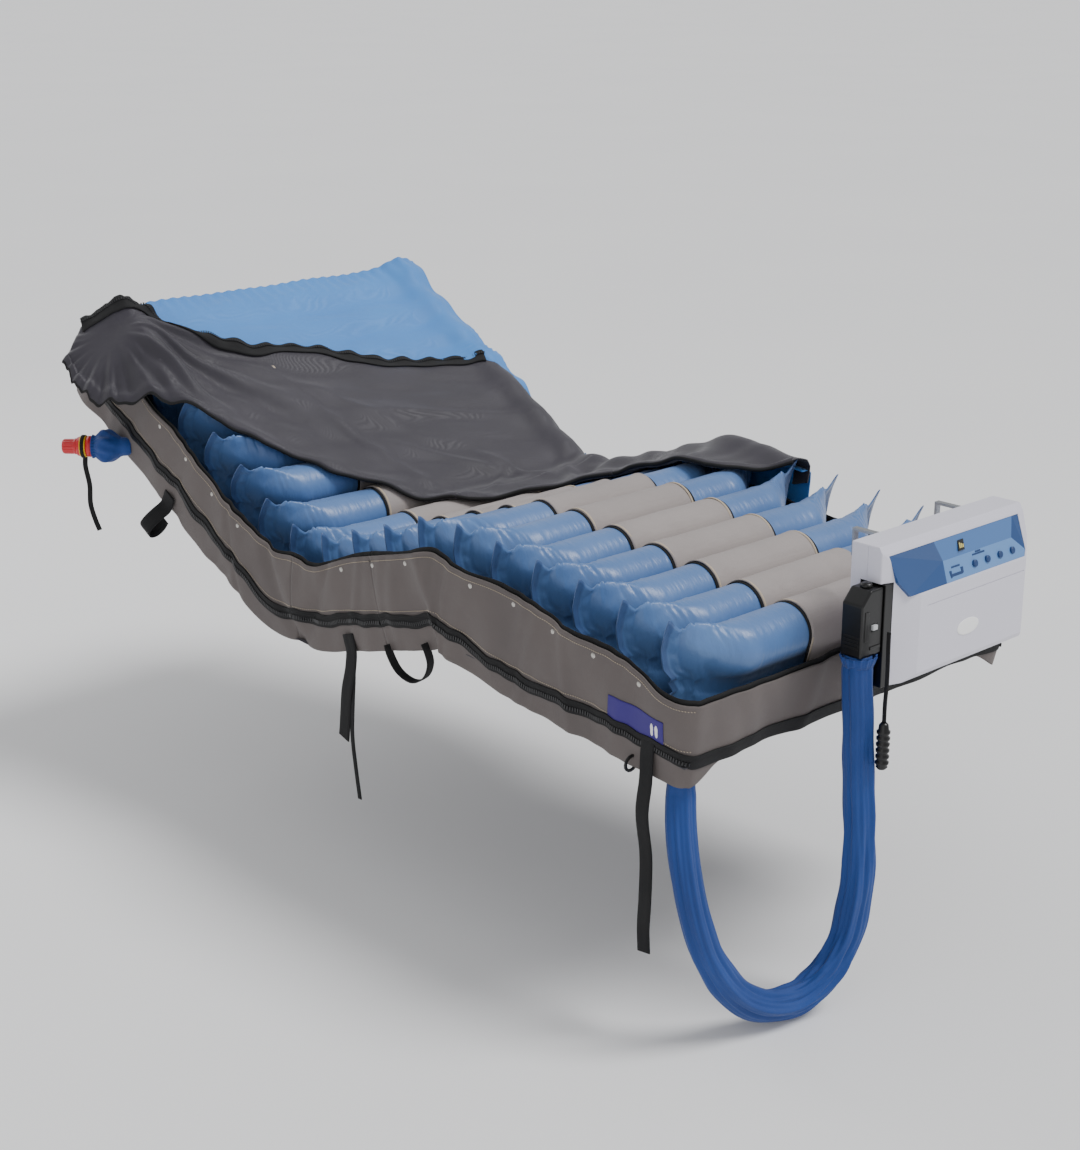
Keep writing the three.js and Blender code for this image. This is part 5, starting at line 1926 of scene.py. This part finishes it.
@dataclass
class Pump:
    """The pump: two-part case, sunk panel in facets, display, pictograms, badge, screws and hooks."""

    back: float = 1.170
    split: float = 1.206
    front: float = 1.262
    near: float = -0.107
    far: float = 0.305
    low: float = 0.150
    high: float = 0.405
    wall: float = 0.003
    panel_low: float = 0.308
    panel_high: float = 0.392
    backset: float = 0.024
    round_by: float = 0.007
    outline: tuple[tuple[float, float], ...] = (
        (-0.092, 0.08336), (-0.078, 0.034), (-0.052, 0.004), (0.286, 0.004), (0.292, 0.016), (0.286, 0.08336))

    def on_panel(self, across: float, up: float, out: float) -> Point:
        """A point of the sloped panel in the model's frame."""
        lean = math.atan2(self.backset, self.panel_high - self.panel_low)
        return (self.front - up * math.sin(lean) + out * math.cos(lean), across,
                self.panel_low + up * math.cos(lean) + out * math.sin(lean))

    def panel_piece(self, name: str, outline: Sequence[tuple[float, float]], low: float, high: float,
                    finish: str) -> bpy.types.Object:
        """A plate parallel to the sloped panel."""
        n = len(outline)
        points = [self.on_panel(a, u, level) for level in (low, high) for a, u in outline]
        faces = [tuple(range(n)), tuple(range(2 * n - 1, n - 1, -1))]
        faces += [(i, (i + 1) % n, n + (i + 1) % n, n + i) for i in range(n)]
        return tidy_normals(add_mesh(name, points, faces, finish, smooth=False))

    def body(self, inset: float) -> bpy.types.Object:
        """The case's outer or inner form."""
        s = inset
        profile = [(self.back + s, self.low + s), (self.front - 0.010 - s, self.low + s),
                   (self.front - s, self.low + 0.012 + s), (self.front - s, self.panel_low),
                   (self.front - self.backset - s, self.panel_high),
                   (self.front - self.backset - 0.008 - s, self.high - s), (self.back + s, self.high - s)]
        plan = [(self.back + s, self.near + s), (self.front - 0.026, self.near + s),
                (self.front - s, self.near + 0.082), (self.front - s, self.far - 0.014),
                (self.front - 0.012, self.far - s), (self.back + s, self.far - s)]
        form = prism("case", profile, self.near + s, self.far - s, "xzy", "case")
        return combine(form, prism("plan", plan, self.low - 0.02, self.high + 0.02, "xyz", "case"),
                       "INTERSECT")

    def case(self) -> None:
        """Makes the front and rear halves of the case."""
        form = rounded(self.body(0.0), self.round_by, 5, 25)
        combine(form, self.panel_piece("room", self.outline, -0.0075, 0.02, "case"), "DIFFERENCE")
        groove = prism("groove", [(self.front - 0.0012, 0.2840), (self.front + 0.01, 0.2840),
                                  (self.front + 0.01, 0.2856), (self.front - 0.0012, 0.2856)],
                       -0.004, 0.286, "xzy", "case")
        combine(form, groove, "DIFFERENCE")
        combine(form, self.body(self.wall), "DIFFERENCE")
        socket_low, socket_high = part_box("hose_socket")
        room = prism("socket", [(socket_low[0] - 0.0006, self.near - 0.01),
                                (socket_high[0] + 0.0006, self.near - 0.01),
                                (socket_high[0] + 0.0006, socket_high[1] + 0.0006),
                                (socket_low[0] - 0.0006, socket_high[1] + 0.0006)],
                     self.low - 0.001, 0.3406, "xyz", "case")
        combine(form, room, "DIFFERENCE")
        rear = form.copy()
        rear.data = form.data.copy()
        bpy.context.scene.collection.objects.link(rear)
        gap = 0.0003
        for piece, name, low, high, node in ((form, "pump_case_front", self.split + gap, self.front + 0.02,
                                              "pump_front_shell"),
                                             (rear, "pump_case_rear", self.back - 0.02, self.split - gap,
                                              "pump_rear_shell")):
            half = prism("half", [(low, -0.2), (high, -0.2), (high, 0.4), (low, 0.4)], 0.1, 0.5, "xyz",
                         "case")
            combine(piece, half, "INTERSECT")
            piece.name = name
            piece.data.name = name
            rounded(piece, 0.0007, 2, 50)
            settle(piece, ROOT, replaces=[node])

    def panel(self) -> None:
        """Makes the sunk panel: facets that meet in a crease, darker at both ends."""
        edge, deep, floor = -0.0010, -0.0052, -0.0072
        a, b, c, d, e, f = self.outline
        crease_near, crease_far = (0.056, 0.044), (0.262, 0.044)
        top_near, top_far, foot_near = (0.034, 0.08336), (0.268, 0.08336), (0.052, 0.004)
        shapes = (
            ("panel_facet_near", "dark_panel", (a, b, c, foot_near, crease_near, top_near), (4,)),
            ("panel_facet_low", "light_panel", (foot_near, d, e, crease_far, crease_near), (3, 4)),
            ("panel_facet_high", "mid_panel", (crease_near, crease_far, top_far, top_near), (0, 1)),
            ("panel_facet_far", "dark_panel", (crease_far, e, f, top_far), (0,)),
        )
        made = []
        for name, finish, outline, sunk in shapes:
            n = len(outline)
            points = [self.on_panel(*p, floor) for p in outline]
            points += [self.on_panel(*p, deep if i in sunk else edge) for i, p in enumerate(outline)]
            faces = [tuple(range(n)), tuple(range(2 * n - 1, n - 1, -1))]
            faces += [(i, (i + 1) % n, n + (i + 1) % n, n + i) for i in range(n)]
            made.append(tidy_normals(add_mesh(name, points, faces, finish, smooth=False)))
        settle(joined("pump_panel", made), ROOT, replaces=["control_panel"])

    def marks(self) -> None:
        """Makes the display and the plain pictograms."""
        display = self.panel_piece("pump_display",
                                   [(0.101, 0.052), (0.118, 0.052), (0.118, 0.072), (0.101, 0.072)],
                                   -0.0052, -0.0012, "display")
        rounded(display, 0.0006, 2)
        parts = [display]
        for i in range(3):
            x = 0.1035 + 0.0046 * i
            parts.append(self.panel_piece("bar",
                                          [(x, 0.057), (x + 0.0032, 0.057), (x + 0.0032, 0.067 - 0.002 * i),
                                                  (x, 0.067 - 0.002 * i)], -0.0013, -0.0009, "digit"))
        settle(joined("pump_display", parts), ROOT)
        signs = []
        for low, high, depth in (((0.068, 0.012), (0.102, 0.017), -0.0016),
                                 ((0.066, 0.010), (0.071, 0.023), -0.0016),
                                 ((0.099, 0.013), (0.105, 0.024), -0.0016),
                                 ((0.074, 0.027), (0.098, 0.030), -0.0030),
                                 ((0.140, 0.036), (0.176, 0.039), -0.0040),
                                 ((0.150, 0.040), (0.165, 0.043), -0.0044)):
            outline = [(low[0], low[1]), (high[0], low[1]), (high[0], high[1]), (low[0], high[1])]
            top = -0.0010 - 0.0042 * (0.5 * (low[1] + high[1]) - 0.004) / 0.040
            signs.append(self.panel_piece("sign", outline, top - 0.001, top + 0.0007, "print"))
        settle(joined("pump_pictograms", signs), ROOT)

    def badge(self) -> None:
        """Makes the blank oval badge on the front."""
        turn = np.linspace(0, 2 * math.pi, 73)[:-1]
        rings = [np.stack([np.full_like(turn, self.front + lift), 0.120 + grow * 0.0320 * np.cos(turn),
                           0.2170 + grow * 0.0155 * np.sin(turn)], axis=1)
                 for grow, lift in ((1.0, -0.0005), (1.0, 0.0005), (0.97, 0.0011), (0.90, 0.0012),
                                    (0.0, 0.0012))]
        faces = grid_faces(len(rings), 72, closed=True) + [tuple(range(72))]
        piece = tidy_normals(add_mesh("pump_badge", np.concatenate(rings), faces, "badge"), 1e-5)
        settle(piece, ROOT)

    def fittings(self) -> None:
        """Makes screws, cooling slots and feet at the back, and rounds the hooks, inlet and insides."""
        corners = [(self.back - 0.0002, y, z) for y in (self.near + 0.02, self.far - 0.02)
                   for z in (self.low + 0.03, self.high - 0.02)]
        settle(Rows.get(StampKind.SCREW, along=False).lay("pump_screws", [np.array(corners)], (-1, 0, 0)),
               ROOT)
        slots = [np.array([(self.back - 0.0002, y, 0.300) for y in np.linspace(0.06, 0.15, 3)])]
        settle(Rows.get(StampKind.GRILLE).lay("pump_cooling_slots", slots, (-1, 0, 0)), ROOT)
        for node in ("hook_near", "hook_far"):
            softened(node, "steel", 0.0009)
        softened("mains_inlet", "black", 0.0012)
        softened("connector_latch", "grey", 0.0012)
        softened("compressor", "cast", 0.002)
        softened("rotary_valve", "grey", 0.0015)
        low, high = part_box("mains_inlet")
        pins = [block("pin", (low[0] - 0.0004, y - 0.0012, low[2] + 0.007),
                      (low[0] + 0.002, y + 0.0012, low[2] + 0.013),
                      "steel", 0.0003) for y in (low[1] + 0.007, (low[1] + high[1]) / 2, high[1] - 0.007)]
        settle(joined("mains_inlet_pins", pins), ROOT)
        feet = [turned("foot", [(0.0, 0.0), (0.007, 0.0), (0.008, 0.0015), (0.008, 0.004), (0.0, 0.004)],
                       (self.back + 0.0002, y, z), (-1, 0, 0), "black", 24)
                for y in (self.near + 0.05, self.far - 0.05) for z in (self.low + 0.02, 0.27)]
        settle(joined("pump_rubber_feet", feet), ROOT)

    def build(self) -> None:
        """Builds and dresses the pump."""
        self.case()
        self.panel()
        self.marks()
        self.badge()
        self.fittings()


@dataclass
class HoseConnector:
    """The quick connector on the pump's side, with its ribs, collar and hanging sealing cap."""

    def build(self) -> None:
        """Builds and dresses the connector."""
        softened("quick_connector", "black", 0.0035, 4)
        softened("hose_socket", "black", 0.0012)
        low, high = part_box("quick_connector")
        middle = ((low[0] + high[0]) / 2, (low[1] + high[1]) / 2)
        parts = []
        for i in range(4):
            z = low[2] + 0.016 + 0.0065 * i
            parts.append(block("rib", (low[0] + 0.006, low[1] - 0.0012, z),
                               (high[0] - 0.006, low[1] + 0.002, z + 0.003),
                               "black", 0.0007))
        parts.append(block("plate", (high[0] - 0.002, low[1] + 0.008, low[2] + 0.03),
                           (high[0] + 0.0012, low[1] + 0.018, high[2] - 0.036), "black", 0.0008))
        parts.append(block("frame", (high[0] - 0.002, low[1] + 0.024, low[2] + 0.012),
                           (high[0] + 0.0016, high[1] - 0.004, low[2] + 0.018), "black", 0.0008))
        parts.append(turned("knob", [(0.0, 0.0), (0.011, 0.0), (0.011, 0.004), (0.0095, 0.007),
                                     (0.0, 0.0085)],
                            (middle[0], middle[1] + 0.008, high[2] - 0.0005), (0, 0, 1), "black", 32))
        parts.append(turned("collar", [(0.0, -0.010), (0.0205, -0.010), (0.0215, -0.007), (0.0215, -0.0002),
                                       (0.0, -0.0002)], (1.218, -0.135, low[2]), (0, 0, 1), "black", 40))
        settle(joined("connector_details", parts), ROOT)
        self.cap()

    def cap(self) -> None:
        """Makes the sealing cap and its tether."""
        low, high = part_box("transport_cap")
        x, y = (low[0] + high[0]) / 2, (low[1] + high[1]) / 2
        top = high[2]
        profile = [(0.0, low[2]), (0.007, low[2]), (0.0105, low[2] + 0.004)]
        for i in range(6):
            z = low[2] + 0.008 + 0.0115 * i
            profile += [(0.0095, z), (0.0120, z + 0.0022), (0.0124, z + 0.0060), (0.0096, z + 0.0085)]
        profile += [(0.0085, top - 0.004), (0.0050, top), (0.0, top)]
        cap = turned("sealing_cap_ribbed", profile, (x, y, 0.0), (0, 0, 1), "black", 40)
        settle(cap, "sealing_cap", replaces=["transport_cap"])
        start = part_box("cap_tether")[1]
        line = [(x, y, start[2]), (x + 0.001, y - 0.001, 0.235), (x + 0.0035, y - 0.003, 0.200),
                (x + 0.002, y - 0.001, 0.165), (x - 0.001, y + 0.001, 0.130), (x, y, top - 0.002)]
        tether = ribbon("sealing_cap_tether", line, (1, 0, 0), 0.0075, 0.0024, "webbing", 8)
        settle(tether, "sealing_cap", replaces=["cap_tether"])


# ---- Rescue valve ----------------------------------------------------------------------------
@dataclass
class RescueValve:
    """The quick let-down valve near the head: gathered sleeve, red body, yellow ring, red cap, strap."""

    base: Point = (-0.6121, -0.4550, 0.3048)
    axis: Point = (-0.70710678, -0.70710678, 0.0)

    def turn(self) -> Matrix:
        """Turns the z axis to the valve's axis."""
        return Vector((0, 0, 1)).rotation_difference(Vector(self.axis)).to_matrix()

    def sleeve(self) -> None:
        """Makes the gathered sleeve."""
        profile = ((0.016, -0.006), (0.020, 0.004), (0.022, 0.018), (0.030, 0.032), (0.0355, 0.044),
                   (0.0370, 0.054),
                   (0.0345, 0.063), (0.0280, 0.071), (0.0235, 0.0765), (0.0245, 0.0795), (0.0262, 0.0835),
                   (0.0240, 0.0835), (0.0, 0.0835))
        around = 120
        turn = np.linspace(0, 2 * math.pi, around, endpoint=False)
        path = curve_through([(r, h, 0) for r, h in profile[:-1]], 5)
        matrix = np.array(self.turn())
        rings = []
        for radius, height, _ in list(path) + [(0.0, 0.0835, 0.0)]:
            slack = math.exp(-((height - 0.052) / 0.020) ** 2)
            gather = math.exp(-((height - 0.078) / 0.010) ** 2)
            pleat = (0.0030 * np.sin(5 * turn + 60 * height) + 0.0018
                     * np.sin(9 * turn - 90 * height + 1)) * slack
            pleat = pleat + 0.0012 * np.sin(21 * turn + 30 * height) * gather
            size = np.maximum(radius + pleat * min(1.0, radius / 0.016), 0.0)
            local = np.stack([size * np.cos(turn), size * np.sin(turn), np.full_like(turn, height)], axis=1)
            rings.append(local @ matrix.T + np.array(self.base))
        faces = grid_faces(len(rings), around, closed=True) + [tuple(range(around))]
        piece = tidy_normals(add_mesh("rescue_valve_sleeve", np.concatenate(rings), faces, "sleeve"), 1e-5)
        settle(piece, "back_section", replaces=["cpr_sleeve"])

    def build(self) -> None:
        """Builds and dresses the valve."""
        self.sleeve()
        body = turned("valve_body", [(0.0, 0.080), (0.0215, 0.080), (0.0225, 0.082), (0.0225, 0.086),
                                     (0.0240, 0.0875),
                                     (0.0240, 0.0935), (0.0220, 0.0950), (0.0220, 0.1150), (0.0205, 0.1180),
                                     (0.0, 0.1180)], self.base, self.axis, "red", 64)
        ring = turned("valve_ring", [(0.0221, 0.0965), (0.0240, 0.0970), (0.0244, 0.0985), (0.0244, 0.1085),
                                     (0.0240, 0.1100), (0.0221, 0.1105), (0.0221, 0.0965)],
                      self.base, self.axis, "yellow", 64)
        settle(joined("rescue_valve_body", [body, ring]), "back_section",
               replaces=["cpr_valve_body"])
        around = 96
        turn = np.linspace(0, 2 * math.pi, around, endpoint=False)
        matrix = np.array(self.turn())
        rings = []
        for radius, height, grip in ((0.0, 0.1184, 0), (0.0178, 0.1184, 0), (0.0182, 0.1200, 0),
                                     (0.0182, 0.1235, 0),
                                     (0.0168, 0.1245, 0.3), (0.0166, 0.1270, 1), (0.0164, 0.1470, 1),
                                     (0.0156, 0.1500, 0.4), (0.0140, 0.1516, 0), (0.0, 0.1519, 0)):
            size = radius + 0.0007 * grip * np.sign(np.sin(16 * turn)) * np.abs(np.sin(16 * turn)) ** 0.5
            local = np.stack([size * np.cos(turn), size * np.sin(turn), np.full_like(turn, height)], axis=1)
            rings.append(local @ matrix.T + np.array(self.base))
        cap = tidy_normals(add_mesh("rescue_valve_cap_ribbed", np.concatenate(rings),
                                    grid_faces(len(rings), around, closed=True), "red"), 1e-5)
        settle(cap, "rescue_valve_cap", replaces=["cpr_cap"])
        at = np.array(self.base) + np.array(self.axis) * 0.103
        loop = turned("strap_loop", [(0.0245, 0.0995), (0.0262, 0.0995), (0.0262, 0.1075), (0.0245, 0.1075),
                                     (0.0245, 0.0995)], self.base, self.axis, "webbing", 48)
        x, y, z = at
        line = [(x, y, z - 0.0245), (x - 0.001, y - 0.001, z - 0.045), (x + 0.004, y + 0.003, z - 0.090),
                (x + 0.003, y + 0.002, z - 0.135), (x + 0.010, y + 0.007, z - 0.172),
                (x + 0.017, y + 0.012, z - 0.196)]
        tail = ribbon("strap_tail", line, (0.676, 0.737, 0), 0.011, 0.0018, "webbing", 8)
        settle(joined("rescue_valve_strap", [loop, tail]), "back_section")


# ---- Straps ----------------------------------------------------------------------------------
@dataclass
class Straps:
    """Fixing straps sewn to the lower edge of the near wall."""

    wall: float = -0.4615
    width: float = 0.038

    def sewn(self, cell: float) -> list[tuple]:
        """The sewn upper end of a strap on the wall."""
        return [tuple(SPINE.at(cell, self.wall, n)) for n in (-0.172, -0.190, -0.206)]

    def hanging(self, name: str, cell: float, drops: Sequence[Point], width: float) -> bpy.types.Object:
        """A strap that hangs from the wall; drops are offsets along x and y and downwards."""
        top = self.sewn(cell)
        last = top[-1]
        line = top + [(last[0] + dx, last[1] + dy, last[2] - dz) for dx, dy, dz in drops]
        return ribbon(name, line, (1, 0, 0), width, 0.0022, "webbing", 10)

    def build(self) -> None:
        """Builds and dresses the straps."""
        foot = self.hanging("foot", 1.18,
                            ((0.001, -0.003, 0.045), (-0.004, -0.006, 0.110), (0.003, -0.002, 0.190),
                                           (0.006, -0.006, 0.270), (-0.002, -0.001, 0.335),
                                           (0.003, -0.004, 0.378)),
                            0.030)
        settle(foot, "foot_section", replaces=["strap_foot"])
        foot.name = foot.data.name = "strap_foot_tail"
        softened("strap_ring", "black", 0.0012)
        seat = self.hanging("seat", 9.66,
                            ((0.000, -0.004, 0.040), (-0.010, -0.008, 0.090), (-0.020, -0.006, 0.140),
                                           (-0.030, -0.003, 0.185), (-0.034, -0.002, 0.200)), 0.034)
        thin = self.hanging("thin", 9.60,
                            ((0.004, -0.004, 0.050), (0.000, -0.007, 0.120), (-0.010, -0.003, 0.190),
                                           (0.002, -0.006, 0.260), (0.006, -0.002, 0.325)), 0.011)
        settle(joined("strap_seat_tails", [seat, thin]), "thigh_section", replaces=["strap_seat"])
        cell = 14.63
        line = [tuple(SPINE.at(cell, y, n)) for y, n in (
            (-0.4610, -0.171), (-0.4612, -0.190), (-0.4640, -0.206), (-0.4800, -0.222), (-0.4960, -0.240),
            (-0.5040, -0.258), (-0.4960, -0.272), (-0.4800, -0.272), (-0.4660, -0.258), (-0.4600, -0.240))]
        along = SPINE.at(cell - 1, 0, 0) - SPINE.at(cell, 0, 0)
        handle = ribbon("strap_back_handle", line, tuple(along), self.width, 0.0026, "webbing", 8)
        settle(handle, "back_section", replaces=["strap_back"])
        knee = [tuple(SPINE.at(k, y, n)) for k, y, n in (
            (8.50, -0.4620, -0.200), (8.48, -0.4622, -0.222), (8.35, -0.4600, -0.256),
            (8.05, -0.4560, -0.278),
            (7.70, -0.4540, -0.272), (7.45, -0.4560, -0.246), (7.40, -0.4600, -0.222),
            (7.42, -0.4615, -0.204))]
        loop = ribbon("strap_knee_loop", knee, (0, 1, 0), 0.018, 0.0024, "webbing", 10)
        settle(loop, "thigh_section")


def dress_model_nodes() -> None:
    """Gives every model node that stays visible its finish."""
    finishes = {"button": "print", "air_line": "tube", "hose_gland": "black", "zip_slider": "steel"}
    for name in frame["nodes"]:
        node = bpy.data.objects.get(name)
        finish = next((kind for start, kind in finishes.items() if name.startswith(start)), None)
        if node is None or node.type != "MESH" or finish is None:
            continue
        node.data.materials.clear()
        node.data.materials.append(Finishes.get(finish))


def main() -> None:
    """Builds the whole mattress."""
    logging.basicConfig(level=logging.INFO, format="%(name)s: %(message)s")
    Studio().build()
    dress_model_nodes()
    AirHose().build()
    cells = AirCells()
    cells.build()
    CellLoops(cells).build()
    cover = LowerCover()
    cover.build()
    TopCover(cover).build()
    Pump().build()
    HoseConnector().build()
    RescueValve().build()
    Straps().build()


if __name__ == "__main__":
    main()
